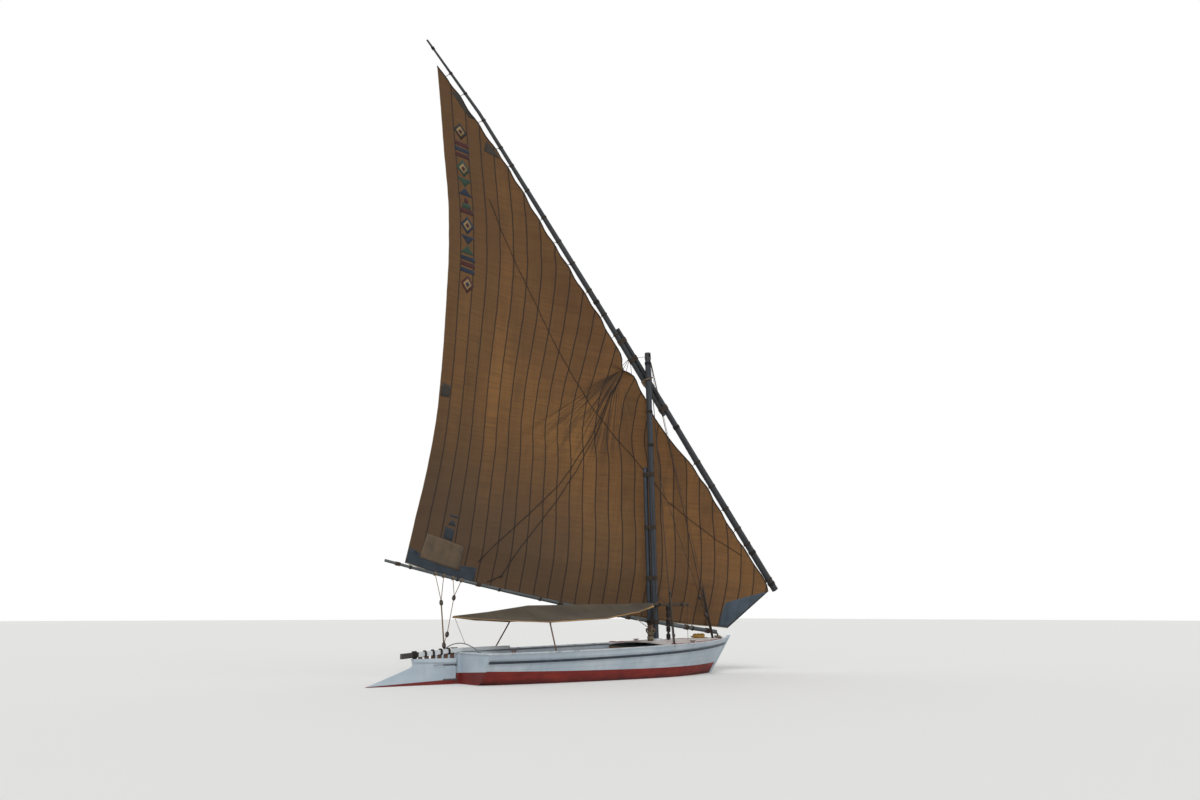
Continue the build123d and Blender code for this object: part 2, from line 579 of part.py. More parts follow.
def aft_points(outline):
    """Side-view points of the rudder from their distance aft of the pins' axis."""
    return [(RUDDER_AXIS_X - aft, z) for aft, z in outline]


def rudder():
    """Rudder blade with cheeks, pintles, tiller, chocks and lashing, and the sternpost's gudgeons."""
    blade = side_view(aft_points(RUDDER_OUTLINE), RUDDER_THICK)
    gudgeons, pintles = [], []
    for z in GUDGEON_HEIGHTS:
        low = z - GUDGEON_THICK / 2 - PIN_TAIL - NOTCH_CLEAR
        top = z + GUDGEON_THICK / 2 + PINTLE_LIFT + KNUCKLE_HEIGHT + NOTCH_CLEAR
        blade -= block(FAR, RUDDER_AXIS_X - NOTCH_REACH, -FAR, FAR, low, top)
        gudgeons.append(gudgeon(z))
        pintles.append(pintle(z))
    cheek_side = aft_points(CHEEK_OUTLINE)
    cheeks = side_view(cheek_side, RUDDER_THICK + 2 * CHEEK_THICK) - side_view(cheek_side, RUDDER_THICK)
    chocks = []
    for number in range(CHOCK_COUNT):
        x = RUDDER_AXIS_X - CHOCK_FIRST - number * CHOCK_PITCH
        chock = block(x - CHOCK_LENGTH / 2, x + CHOCK_LENGTH / 2, -CHOCK_WIDTH / 2, CHOCK_WIDTH / 2,
                      RUDDER_TOP, FAR)
        chocks.append(chock & under_tiller())
    lashing_x = RUDDER_AXIS_X - LASHING_AFT
    wrap = Pos(lashing_x, 0, tiller_mid()) * Rot(0, 90, 0) * Cylinder(LASHING_R, LASHING_LENGTH)
    wrap = (wrap - tiller_solid(SEAT)) & block(-FAR, FAR, -FAR, FAR, RUDDER_TOP + SEAT, FAR)
    return {"rudder_blade": blade, "rudder_cheeks": cheeks, "rudder_gudgeons": Compound(gudgeons),
            "rudder_pintles": Compound(pintles), "tiller": tiller_solid(0),
            "tiller_chocks": Compound(chocks), "tiller_lashing": wrap}


def tiller_solid(grow):
    """Tiller beam: deep aft where it lies on the rudder head, slim forward."""
    low = [(aft, RUDDER_TOP + low - grow) for aft, low, _ in TILLER_STATIONS]
    top = [(aft, RUDDER_TOP + top + grow) for aft, _, top in reversed(TILLER_STATIONS)]
    return side_view(aft_points(low + top), TILLER_WIDTH + 2 * grow)


def tiller_mid():
    """Height of the tiller's middle at its lashing."""
    (aft0, low0, top0), (aft1, low1, top1) = TILLER_STATIONS[:2]
    share = (LASHING_AFT - aft0) / (aft1 - aft0)
    return RUDDER_TOP + (low0 + top0 + share * (low1 + top1 - low0 - top0)) / 2


def under_tiller():
    """Block below the underside of the tiller's after part."""
    (aft0, low0, _), (aft1, low1, _) = TILLER_STATIONS[:2]
    outline = [(aft0, RUDDER_TOP + low0), (aft0, -FAR), (aft1, -FAR), (aft1, RUDDER_TOP + low1)]
    return side_view(aft_points(outline), CHOCK_WIDTH)


def gudgeon(z):
    """Eye on the sternpost for one rudder pin."""
    axis = Pos(RUDDER_AXIS_X, 0, z)
    eye = axis * Cylinder(EYE_R, GUDGEON_THICK)
    eye += block(RUDDER_AXIS_X, POST_AFT_X, -EYE_R, EYE_R, z - GUDGEON_THICK / 2, z + GUDGEON_THICK / 2)
    return eye - axis * Cylinder(PIN_R + PIN_CLEAR, 2 * GUDGEON_THICK)


def pintle(z):
    """Pin that hangs in a gudgeon's eye, with the straps that hold it to the blade."""
    low = z + GUDGEON_THICK / 2 + PINTLE_LIFT
    top = low + KNUCKLE_HEIGHT
    side_y = RUDDER_THICK / 2
    pin_low = z - GUDGEON_THICK / 2 - PIN_TAIL
    axis = Pos(RUDDER_AXIS_X, 0, 0)
    knuckle = axis * Pos(0, 0, (low + top) / 2) * Cylinder(KNUCKLE_R, KNUCKLE_HEIGHT)
    knuckle += block(RUDDER_AXIS_X - NOTCH_REACH, RUDDER_AXIS_X - PIN_R / 2,
                     -side_y - STRAP_THICK, side_y + STRAP_THICK, low, top)
    knuckle += axis * Pos(0, 0, (pin_low + top) / 2) * Cylinder(PIN_R, top - pin_low)
    for side in (-1, 1):
        knuckle += block(RUDDER_FORE_X - STRAP_LENGTH, RUDDER_AXIS_X - EYE_R,
                         side * side_y, side * (side_y + STRAP_THICK), top - STRAP_DEPTH, top)
    return knuckle


YARD_DIR = (Vector(YARD_PEAK) - Vector(YARD_LOW)).normalized()
LEE_DIR = YARD_DIR.cross(Vector(0, 0, 1)).normalized()     # level, and square to the sail
OUT_DIR = LEE_DIR.cross(YARD_DIR).normalized()
CLEW = along(BOOM_FORE, BOOM_AFT, CLEW_SHARE) + Vector(0, 0, CLEW_RISE)


def yard_point(share, offset=0.0):
    """Point beside the yard's line: positive offsets lie above and ahead of it."""
    return along(YARD_LOW, YARD_PEAK, share) + OUT_DIR * offset


def spar_at(stations, share):
    """Centre and radius of a yard spar at a share of the yard's line."""
    for (s0, off0, r0), (s1, off1, r1) in zip(stations, stations[1:]):
        if s0 <= share <= s1:
            part = (share - s0) / (s1 - s0)
            return yard_point(share, off0 + (off1 - off0) * part), r0 + (r1 - r0) * part
    return None


def yard_spar(stations):
    """Gently bent, tapered spar through its stations."""
    rings = [Plane(origin=yard_point(share, off), z_dir=YARD_DIR) * Circle(r)
             for share, off, r in stations]
    return loft(rings, ruled=True)


def boom_point(share):
    """Point on the boom's axis, which sags between its ends."""
    drop = BOOM_SAG * 4 * share * (1 - share)
    return along(BOOM_FORE, BOOM_AFT, share) - Vector(0, 0, drop)


def boom_spar():
    """Sagging, tapered boom."""
    rings = []
    for step in range(BOOM_STEPS + 1):
        share = step / BOOM_STEPS
        radius = BOOM_R[0] + (BOOM_R[1] - BOOM_R[0]) * share
        rings.append(Plane(origin=boom_point(share), z_dir=Vector(BOOM_AFT) - Vector(BOOM_FORE)) * Circle(radius))
    return loft(rings, ruled=True)


def sail_rows():
    """Luff point, leech point and belly of each row of the sail, from its foot to its peak."""
    rows = [(Vector(TACK_CORNER), CLEW, FOOT_BELLY)]
    head = yard_point(*LUFF[-1]) + Vector(HEAD_SHIFT)
    for on_yard, (share, forward, starboard, belly) in zip(LUFF, LEECH):
        leech = along(CLEW, head, share) + Vector(forward, -starboard, 0)
        rows.append((yard_point(*on_yard), leech, belly))
    return rows


def sail_face(luff, leech, belly):
    """Thin curved strip across the sail from its luff to its leech."""
    chord_dir = (leech - luff).normalized()
    lee = (LEE_DIR - chord_dir * LEE_DIR.dot(chord_dir)).normalized()
    mid = (luff + leech) / 2 + lee * belly
    half = lee * (SAIL_THICK / 2)
    near = ThreePointArc(luff - half, mid - half, leech - half)
    far = ThreePointArc(leech + half, mid + half, luff + half)
    return make_face([near, Line(near @ 1, far @ 0), far, Line(far @ 1, near @ 0)])


def collar(share, length, lower, upper):
    """Rope wound round both spars of the yard where they lie side by side."""
    half = YARD_DIR * (length / 2)
    (low_c, low_r), (up_c, up_r) = spar_at(LOWER_SPAR, share), spar_at(UPPER_SPAR, share)
    wound = spar(low_c - half, low_c + half, low_r + WRAP_THICK, low_r + WRAP_THICK)
    wound += spar(up_c - half, up_c + half, up_r + WRAP_THICK, up_r + WRAP_THICK)
    middle = (low_c + up_c) / 2
    frame = Plane(origin=middle, x_dir=OUT_DIR, z_dir=YARD_DIR)
    wound += frame * Box((low_c - up_c).length, 2 * min(low_r, up_r), length)
    return main_solid(wound - lower - upper)


def tie(start, sail, carrier):
    """Short rope from the middle of a spar to the nearest edge of the sail."""
    _, end, _ = sail.distance_to_with_closest_points(start)
    reach = Vector(end) - start
    end = start + reach * (1 - SEAT / reach.length)
    return main_solid(spar(start, end, TIE_R, TIE_R) - carrier)


def rig():
    """Yard of two fished spars, boom, sail, and the ropes that tie them together."""
    lower, upper = yard_spar(LOWER_SPAR), yard_spar(UPPER_SPAR)
    boom = boom_spar()
    sail = loft([sail_face(*row) for row in sail_rows()], ruled=True)
    luff_ties = []
    for share in LUFF_TIES:
        on_lower = share < UPPER_SPAR_FROM
        stations, carrier = (LOWER_SPAR, lower) if on_lower else (UPPER_SPAR, upper)
        luff_ties.append(tie(spar_at(stations, share)[0], sail, carrier))
    foot_ties = [tie(boom_point(share), sail, boom) for share in FOOT_TIES]
    lashings = [collar(share, LASHING_WRAP_LENGTH, lower, upper) for share in LASHING_SHARES]
    leg_r = TACK_KNOT_R * KNOT_LEG_SHARE
    knot = Pos(*TACK_PIVOT) * Sphere(TACK_KNOT_R) + spar(TACK_PIVOT, BOOM_FORE, leg_r, leg_r)
    return {"yard_lower": lower, "yard_upper": upper, "boom": boom, "sail": sail,
            "luff_ties": Compound(luff_ties), "foot_ties": Compound(foot_ties),
            "yard_lashings": Compound(lashings), "sling": sling(lower, upper),
            "tack_knot": main_solid(knot - boom)}


def sling(lower, upper):
    """Strop that slings the yard from the mast: a loose ring and a collar round the spars."""
    centre = Vector(mast_x(SLING_Z), 0, SLING_Z)
    turn = Plane(origin=centre, z_dir=centre - Vector(TACK_PIVOT))     # the rig swings about this line
    ring_r = mast_r(SLING_Z) + SLING_CLEAR
    ring = turn * Cylinder(ring_r + 2 * SLING_ROPE_R, 2 * SLING_ROPE_R)
    wound = collar(SLING_SHARE, SLING_WRAP_LENGTH, lower, upper)
    leg = spar(centre, wound.center(), SLING_ROPE_R, SLING_ROPE_R)
    hole = turn * Cylinder(ring_r, 4 * ring_r)
    return main_solid(ring + leg + wound - hole - lower - upper)


def stays():
    """Standing rigging: the weather shroud and the forestay."""
    top_z = MAST_TOP_Z - STAY_TOP_DROP
    beside = mast_r(top_z) + STAY_R + SEAT
    sheer_z = height(SHEER, SHROUD_X)
    shroud = spar((SHROUD_X, -(breadth(SHROUD_X, sheer_z) + SHROUD_OUT), sheer_z),
                  (mast_x(top_z), -beside, top_z), STAY_R, STAY_R)
    shroud = main_solid(shroud - band(SHEER, -FAR, SHEER, CAP_THICK))
    forestay = spar((FORESTAY_X, FORESTAY_Y, height(SHEER, FORESTAY_X) - FORESTAY_DROP),
                    (mast_x(top_z) + beside, 0, top_z), STAY_R, STAY_R)
    forestay = main_solid(forestay - foredeck_slab())
    return {"shroud_starboard": shroud, "forestay": forestay}


def build():
    """Every piece of the boat, by name."""
    nodes = {}
    for group in (hull_planking, rails_and_caps, backbone, decks, mast_parts, bow_bitt, horse, awning,
                  rudder, rig, stays):
        nodes.update(group())
    return nodes


if __name__ == "__main__":
    for node, shape in build().items():
        export_step(shape, f"parts/{node}.step")
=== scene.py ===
# %% [markdown]
# # A Nile felucca under sail
# The solids of hull, spars and fittings arrive as a fixed frame in metres. The bow points along +X, port is +Y,
# up is +Z, and the origin lies at the waterline amid the hull. This script gives that frame its finishes, and adds
# the cloth, the cordage and the small gear. Nothing of the frame is moved, so both models stay one boat.

import math

import bpy
import numpy as np
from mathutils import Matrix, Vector, noise


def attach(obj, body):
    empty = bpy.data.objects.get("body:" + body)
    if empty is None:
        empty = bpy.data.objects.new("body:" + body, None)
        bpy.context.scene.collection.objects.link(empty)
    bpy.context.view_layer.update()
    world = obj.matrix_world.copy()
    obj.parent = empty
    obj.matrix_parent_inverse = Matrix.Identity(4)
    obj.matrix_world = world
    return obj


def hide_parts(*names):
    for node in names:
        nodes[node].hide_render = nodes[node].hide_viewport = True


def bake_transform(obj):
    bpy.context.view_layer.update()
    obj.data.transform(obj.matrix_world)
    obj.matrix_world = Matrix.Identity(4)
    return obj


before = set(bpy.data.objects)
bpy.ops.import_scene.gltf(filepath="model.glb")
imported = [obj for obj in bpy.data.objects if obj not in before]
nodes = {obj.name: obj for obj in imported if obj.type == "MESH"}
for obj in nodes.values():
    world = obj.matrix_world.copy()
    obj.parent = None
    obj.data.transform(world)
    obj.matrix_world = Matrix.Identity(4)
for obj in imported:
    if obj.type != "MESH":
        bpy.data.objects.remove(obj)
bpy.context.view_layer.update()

# %% [markdown]
# ## The camera
# The camera stands low, off the starboard quarter, and looks up at the sail. It could be placed by eye. Here its
# height and tilt are solved from the picture's eye level, and its bearing from the long lines of the hull, because a
# solved camera lets each part be compared with the picture pixel by pixel.

# %% Camera
PICTURE_WIDTH = 1200
FOCAL_PIXELS = 1050.0
CAMERA_PLACE = Vector((-21.467, -28.339, 2.05))
CAMERA_YAW, CAMERA_PITCH = math.radians(36.97), math.radians(11.49)
SENSOR_WIDTH = 36.0  # millimetres
FARTHEST = 2000.0  # metres that the camera sees

camera = bpy.data.objects.new("camera", bpy.data.cameras.new("camera"))
bpy.context.scene.collection.objects.link(camera)
camera.data.sensor_width = SENSOR_WIDTH
camera.data.lens = SENSOR_WIDTH * FOCAL_PIXELS / PICTURE_WIDTH
camera.data.clip_end = FARTHEST
camera.location = CAMERA_PLACE
level = math.cos(CAMERA_PITCH)
look = Vector((math.sin(CAMERA_YAW) * level, math.cos(CAMERA_YAW) * level, math.sin(CAMERA_PITCH)))
camera.rotation_euler = look.to_track_quat("-Z", "Y").to_euler()
bpy.context.scene.camera = camera
print("lens", camera.data.lens, "mm")

# %% [markdown]
# ## Tools for materials
# Every colour is written as a hex code and turned to linear light by one function. One small function adds a node
# with its settings and links, so that a material reads as a short list. The others are steps that most finishes
# take. Nodes could also be laid out by hand in the editor, but a list in a script can be read and run again.

# %% Helpers for materials
def colour(code):
    """Linear RGBA of an sRGB hex code."""
    channels = [int(code[i:i + 2], 16) / 255 for i in (1, 3, 5)]
    linear = [c / 12.92 if c <= 0.04045 else ((c + 0.055) / 1.055) ** 2.4 for c in channels]
    return (*linear, 1.0)


def add(tree, kind, links=(), **settings):
    """One new node. links maps its inputs to values or to other nodes' outputs."""
    node = tree.nodes.new(kind)
    for name, value in settings.items():
        setattr(node, name, value)
    for key, value in dict(links).items():
        if isinstance(value, bpy.types.NodeSocket):
            tree.links.new(value, node.inputs[key])
        else:
            node.inputs[key].default_value = value
    return node


def new_material(name, roughness, metallic=0.0, **sockets):
    """An empty Principled material: returns it with its tree and shader."""
    material = bpy.data.materials.new(name)
    material.use_nodes = True
    shader = material.node_tree.nodes["Principled BSDF"]
    shader.inputs["Roughness"].default_value = roughness
    shader.inputs["Metallic"].default_value = metallic
    for key, value in sockets.items():
        shader.inputs[key.replace("_", " ")].default_value = value
    return material, material.node_tree, shader


def mix(tree, factor, low, high):
    """Colour between low and high."""
    return add(tree, "ShaderNodeMix", {0: factor, 6: low, 7: high}, data_type="RGBA").outputs[2]


def stain(tree, body, mask, share, code):
    """Colour laid over body where the mask says so, up to a share of its strength."""
    return mix(tree, sums(tree, "MULTIPLY", mask, share), body, colour(code))


def sums(tree, operation, *values):
    """A chain of one math operation over values and sockets."""
    result = values[0]
    for value in values[1:]:
        result = add(tree, "ShaderNodeMath", {0: result, 1: value}, operation=operation).outputs[0]
    return result


def spread(tree, value, low, high):
    """Value rescaled so that low becomes 0 and high becomes 1, held between them."""
    return add(tree, "ShaderNodeMapRange", {0: value, 1: low, 2: high}).outputs[0]


def stretched_noise(tree, vector, scale, detail=3.0, turn=(0, 0, 0)):
    """Noise over coordinates that are turned, then scaled: scale counts its features per metre each way."""
    turned = add(tree, "ShaderNodeMapping", {0: vector, 2: turn})
    scaled = add(tree, "ShaderNodeMapping", {0: turned.outputs[0], 3: scale})
    return add(tree, "ShaderNodeTexNoise", {"Vector": scaled.outputs[0], "Scale": 1.0, "Detail": detail}).outputs[0]


def bump(tree, shader, value, depth):
    """Relief of a height value, depth in metres."""
    node = add(tree, "ShaderNodeBump", {"Height": value, "Distance": depth, "Strength": 1.0})
    tree.links.new(node.outputs[0], shader.inputs["Normal"])


print("material helpers ready")

# %% [markdown]
# ## Paint on planks
# The topsides are softwood planks, brushed with oil gloss paint that has chalked to a cool white. To the eye that is
# a pale, half-dull face with faint brush marks, dirt that has run straight down, and thin seams. Oil paint has an
# IOR near 1.5. Each plank could be its own board, but a caulked seam is only 6 mm wide, so the material draws it and
# the solids keep their form. The seams follow the sheer, which is a parabola in side view, so the pattern measures
# depth from that line. Transom, rudder and tiller take the same paint with a second one beside it.

# %% Painted planks
SHEER = (0.880, -5.34, 0.975, 0.0, 1.180, 5.56)  # height and x at the stern, amid and at the bow
STRAKE = 0.155  # width of one plank
SEAM = 0.006  # opening of a caulked seam
PAINT_EDGE = 0.004  # width of the edge between two paints
CAULKING = "#39424A"
BRUSH_MARKS = 160.0  # per metre of height: 6 mm apart, where real bristles leave less than 1 mm
PLANK_RELIEF = 0.003
OXIDE, OXIDE_WORN = "#6E1A14", "#611812"


def sheer_parabola():
    """Coefficients of the sheer's height as a + b x + c x squared."""
    aft_z, aft_x, mid_z, _, bow_z, bow_x = SHEER
    c = ((bow_z - mid_z) / bow_x - (aft_z - mid_z) / aft_x) / (bow_x - aft_x)
    b = (bow_z - mid_z) / bow_x - c * bow_x
    return mid_z, b, c


def below_sheer(tree, vector):
    """Depth of a point below the sheer."""
    a, b, c = sheer_parabola()
    axes = add(tree, "ShaderNodeSeparateXYZ", {0: vector})
    x, z = axes.outputs[0], axes.outputs[2]
    square = sums(tree, "MULTIPLY", x, x, c)
    height = sums(tree, "ADD", sums(tree, "MULTIPLY", x, b), square, a)
    return sums(tree, "SUBTRACT", height, z)


def seam_mask(tree, distance, pitch, width):
    """1 in a seam, 0 on a plank."""
    place = sums(tree, "PINGPONG", distance, pitch / 2)
    return add(tree, "ShaderNodeMapRange", {0: place, 1: width / 2, 2: width * 1.6, 3: 1.0, 4: 0.0}).outputs[0]


def plank_paint(name, paint, chalk, dirt, roughness, seamed=1.0, streaked=0.55, other=None):
    """Brushed oil paint over planks. seamed and streaked are the shares of seam and of dirt that show. other is
    (constant, per x, per |y|, per z, code, worn code): that paint where they sum to more than nothing."""
    material, tree, shader = new_material(name, roughness, IOR=1.5)
    at = add(tree, "ShaderNodeTexCoord").outputs["Object"]
    patches = spread(tree, stretched_noise(tree, at, (0.9, 0.9, 1.6), 5.0), 0.42, 0.66)
    streaks = spread(tree, stretched_noise(tree, at, (4.0, 4.0, 0.9), 5.0), 0.5, 0.8)
    brushed = stretched_noise(tree, at, (3.0, 12.0, BRUSH_MARKS), 2.0)
    seams = seam_mask(tree, below_sheer(tree, at), STRAKE, SEAM)
    body = mix(tree, patches, colour(paint), colour(chalk))
    body = stain(tree, body, streaks, streaked, dirt)
    body = stain(tree, body, seams, 0.5 * seamed, CAULKING)
    if other:
        constant, per_x, per_y, per_z, code, worn = other
        axes = add(tree, "ShaderNodeSeparateXYZ", {0: at}).outputs
        beside = add(tree, "ShaderNodeMath", {0: axes[1]}, operation="ABSOLUTE").outputs[0]
        place = sums(tree, "ADD", sums(tree, "MULTIPLY", axes[0], per_x), sums(tree, "MULTIPLY", beside, per_y),
                     sums(tree, "MULTIPLY", axes[2], per_z), constant)
        second = mix(tree, patches, colour(code), colour(worn))
        body = mix(tree, spread(tree, place, 0.0, PAINT_EDGE), body, second)
    tree.links.new(body, shader.inputs["Base Color"])
    relief = sums(tree, "SUBTRACT", sums(tree, "MULTIPLY", brushed, 0.12), sums(tree, "MULTIPLY", seams, seamed))
    bump(tree, shader, relief, PLANK_RELIEF)
    return material


white_topsides = plank_paint("chalked_white_oil_paint", "#A9B7C2", "#BAC5CD", "#7D8993", 0.5, 0.42, 0.3)
smooth_white = plank_paint("smooth_white_oil_paint", "#AAB8C2", "#BAC5CC", "#87929B", 0.5, 0.0, 0.2)
transom_paint = plank_paint("white_over_red_transom", "#A4B2BD", "#B2BDC6", "#828E97", 0.62, 0.0, 0.2,
                            other=(0.32, 0.0, 0.049, -1.0, OXIDE, OXIDE_WORN))
rudder_paint = plank_paint("white_over_red_rudder", "#A7B5C0", "#B6C1C9", "#828E97", 0.55, 0.0, 0.25,
                           other=(0.390, 0.044, 0.0, -1.0, OXIDE, OXIDE_WORN))
tiller_paint = plank_paint("tiller_white_fore_dark_aft", "#BCC4C8", "#CBD0D3", "#858F96", 0.5, 0.0, 0.3,
                           other=(-6.78, -1.0, 0.0, 0.0, "#33302E", "#1F1D1B"))
print("topside paints made")

# %% [markdown]
# Below the paint line the planks carry red oxide bottom paint, an iron pigment in oil. It looks matt and a little
# cloudy, and it gathers a dark, weedy band along the waterline. A painted map could show that band, but it depends
# on height alone, so a noise that makes its edge ragged is enough.

# %% Bottom paint
WET_FROM, WET_TO = 0.08, 0.24  # height in metres over which the wet band fades out
BOTTOM_GRIT = 60.0  # features per metre: 17 mm, coarser than the real grit so that it shows


def bottom_paint(name, paint, faded, weed):
    """Matt bottom paint that darkens towards the waterline."""
    material, tree, shader = new_material(name, 0.72, IOR=1.45)
    at = add(tree, "ShaderNodeTexCoord").outputs["Object"]
    height = add(tree, "ShaderNodeSeparateXYZ", {0: at}).outputs[2]
    clouds = stretched_noise(tree, at, (1.4, 1.4, 3.0), 5.0)
    ragged = sums(tree, "ADD", height, sums(tree, "MULTIPLY", clouds, 0.16))
    wet = add(tree, "ShaderNodeMapRange", {0: ragged, 1: WET_FROM, 2: WET_TO, 3: 0.75, 4: 0.0}).outputs[0]
    seams = seam_mask(tree, below_sheer(tree, at), STRAKE, SEAM)
    body = mix(tree, spread(tree, clouds, 0.4, 0.7), colour(paint), colour(faded))
    body = stain(tree, body, seams, 0.45, weed)
    tree.links.new(mix(tree, wet, body, colour(weed)), shader.inputs["Base Color"])
    grain = stretched_noise(tree, at, (BOTTOM_GRIT,) * 3, 3.0)
    bump(tree, shader, sums(tree, "SUBTRACT", sums(tree, "MULTIPLY", grain, 0.3), seams), 0.002)
    return material


red_bottom = bottom_paint("red_oxide_bottom_paint", OXIDE, "#8A2A1E", "#241512")
print("bottom paint made")

# %% [markdown]
# ## Plain paint and deck paint
# Rails, caps and fittings are single timbers under brushed oil paint: smooth, half glossy, and worn through in
# spots. The deck is laid planks, painted white, with seams that run fore and aft, and worn grey where feet pass. The
# wear could be painted by hand. Noise that is stretched along the timber gives it without a map, and it fits every
# rail whatever its length.

# %% Rails, caps and decks
TRIM_BRUSH, DECK_GRAIN = 90.0, 70.0  # features per metre: 11 and 14 mm, where 1 mm is real, so that they show


def trim_paint(name, paint, worn, roughness=0.45, grit=0.0012):
    """Paint on a plain timber, thin at its worn spots."""
    material, tree, shader = new_material(name, roughness, IOR=1.5)
    at = add(tree, "ShaderNodeTexCoord").outputs["Object"]
    wear = spread(tree, stretched_noise(tree, at, (5.0, 14.0, 14.0), 6.0), 0.52, 0.7)
    brushed = stretched_noise(tree, at, (6.0, TRIM_BRUSH, TRIM_BRUSH), 2.0)
    tree.links.new(mix(tree, wear, colour(paint), colour(worn)), shader.inputs["Base Color"])
    bump(tree, shader, brushed, grit)
    return material


def deck_paint(name, paint, worn, joint, board):
    """Painted deck boards that run fore and aft."""
    material, tree, shader = new_material(name, 0.55, IOR=1.5)
    at = add(tree, "ShaderNodeTexCoord").outputs["Object"]
    across = add(tree, "ShaderNodeSeparateXYZ", {0: at}).outputs[1]
    seams = seam_mask(tree, sums(tree, "ADD", across, 10 * board), board, SEAM)
    wear = spread(tree, stretched_noise(tree, at, (1.2, 2.4, 1.2), 6.0), 0.46, 0.72)
    grain = stretched_noise(tree, at, (3.0, DECK_GRAIN, DECK_GRAIN), 3.0)
    body = mix(tree, wear, colour(paint), colour(worn))
    tree.links.new(stain(tree, body, seams, 0.7, joint), shader.inputs["Base Color"])
    bump(tree, shader, sums(tree, "SUBTRACT", sums(tree, "MULTIPLY", grain, 0.25), seams), 0.002)
    return material


rail_paint = trim_paint("dark_rail_paint", "#1F2A37", "#3A4652")
cap_paint = trim_paint("white_cap_paint", "#C3CBD0", "#8C969D")
DECK_BOARD = 0.13  # width of one deck board
deck_white = deck_paint("white_deck_paint", "#D6CFCB", "#A9A6A2", "#5E5A58", DECK_BOARD)
print("trim and deck paints made")

# %% [markdown]
# ## Timber
# The spars are whole trees, so the eye sees grain and drying cracks that run along them. The yard is tarred nearly
# black, the mast is painted dark slate, the boom is bare and silver, and the joinery inside keeps a brown oil finish.
# Wood has an IOR near 1.5. One function serves them all: a mapping turns the pattern until its long axis lies along
# the timber, which is simpler than unwrapping each spar. Real grain is a millimetre or two wide. Here it is 22 mm,
# and a crack 9 mm, so that they show from this far off.

# %% Woods
GRAIN, CRACKS = 45.0, 110.0  # features per metre across the grain
DEEP_CRACK = "#0E0C0B"


def timber(name, pale, dark, along=(1, 0, 0), roughness=0.6, cracks=0.35):
    """Wood or thinly painted wood whose grain runs along a direction."""
    material, tree, shader = new_material(name, roughness, IOR=1.5)
    at = add(tree, "ShaderNodeTexCoord").outputs["Object"]
    turn = Vector(along).rotation_difference(Vector((1, 0, 0))).to_euler()
    grain = stretched_noise(tree, at, (1.6, GRAIN, GRAIN), 5.0, turn)
    checks = spread(tree, stretched_noise(tree, at, (0.9, CRACKS, CRACKS), 2.0, turn), 0.6, 0.68)
    clouds = stretched_noise(tree, at, (0.8, 4.0, 4.0), 3.0, turn)
    body = mix(tree, spread(tree, grain, 0.35, 0.7), colour(dark), colour(pale))
    body = stain(tree, body, spread(tree, clouds, 0.45, 0.7), 0.5, dark)
    tree.links.new(stain(tree, body, checks, cracks, DEEP_CRACK), shader.inputs["Base Color"])
    bump(tree, shader, sums(tree, "SUBTRACT", sums(tree, "MULTIPLY", grain, 0.5), checks), 0.0025)
    return material


YARD_LOW, YARD_PEAK = Vector((7.146, -0.986, 2.893)), Vector((-6.036, 2.301, 21.870))
BOOM_FORE, BOOM_AFT = Vector((5.150, 0.070, 1.400)), Vector((-6.530, 2.980, 3.720))
MAST_BASE_X, MAST_RAKE = 2.283, 0.0238
yard_tarred = timber("tarred_yard_pine", "#34373C", "#15181C", YARD_PEAK - YARD_LOW, 0.55)
boom_silver = timber("weathered_boom_pine", "#6B7072", "#3C4144", BOOM_AFT - BOOM_FORE, 0.7)
mast_slate = timber("slate_painted_mast", "#303A45", "#1D252E", (-MAST_RAKE, 0, 1), 0.5, 0.2)
inside_oiled = timber("oiled_inside_planks", "#8F6A44", "#5C4028", (1, 0, 0), 0.5)
upright_oiled = timber("oiled_upright_posts", "#6B4A30", "#3F2A1C", (0, 0, 1), 0.55)
thwart_oiled = timber("oiled_cross_timbers", "#7A5738", "#4A3222", (0, 1, 0), 0.55)
pole_oiled = timber("oiled_awning_pole", "#4E4033", "#2B231C", (1, 0, 0), 0.6)
stay_tarred = timber("tarred_stays", "#2C2622", "#161210", (-0.4, 0, 1), 0.7, 0.1)
post_tarred = timber("tarred_posts", "#3B3533", "#1E1A1A", (0, 0, 1), 0.55)
block_wood = timber("dark_block_wood", "#40332A", "#211A15", (0, 0, 1), 0.5)
print("woods made")

# %% [markdown]
# ## Iron and rope
# Hinges and the sheet arch are mild steel that was dipped in zinc: dull grey to the eye, with rust starting in
# spots. It is nearly all metal, so its metallic value is high and its IOR stays as it is. Rope is three strands
# twisted together. They could be modelled, but at this distance a relief is enough: a tube's own UV map counts turns
# and metres, and their sum gives the slanting grooves. The grooves are also painted darker and the crests paler, as
# painted shade and painted highlight, over a real fibrous mottle. Twine is too thin for that and takes a fibrous
# mottle.

# %% Steel and cordage
RUST_SPOTS, ZINC_SPANGLE = 28.0, 90.0  # features per metre: 36 mm and 11 mm
ROPE_LAY = 0.055  # length of one strand's crest, drawn longer than a thin rope's own so that it shows


def galvanised(name, zinc, rust):
    """Dipped steel with rust spots."""
    material, tree, shader = new_material(name, 0.5, 0.85)
    at = add(tree, "ShaderNodeTexCoord").outputs["Object"]
    spots = spread(tree, stretched_noise(tree, at, (RUST_SPOTS,) * 3, 6.0), 0.55, 0.68)
    tree.links.new(mix(tree, spots, colour(zinc), colour(rust)), shader.inputs["Base Color"])
    bump(tree, shader, stretched_noise(tree, at, (ZINC_SPANGLE,) * 3, 3.0), 0.0008)
    return material


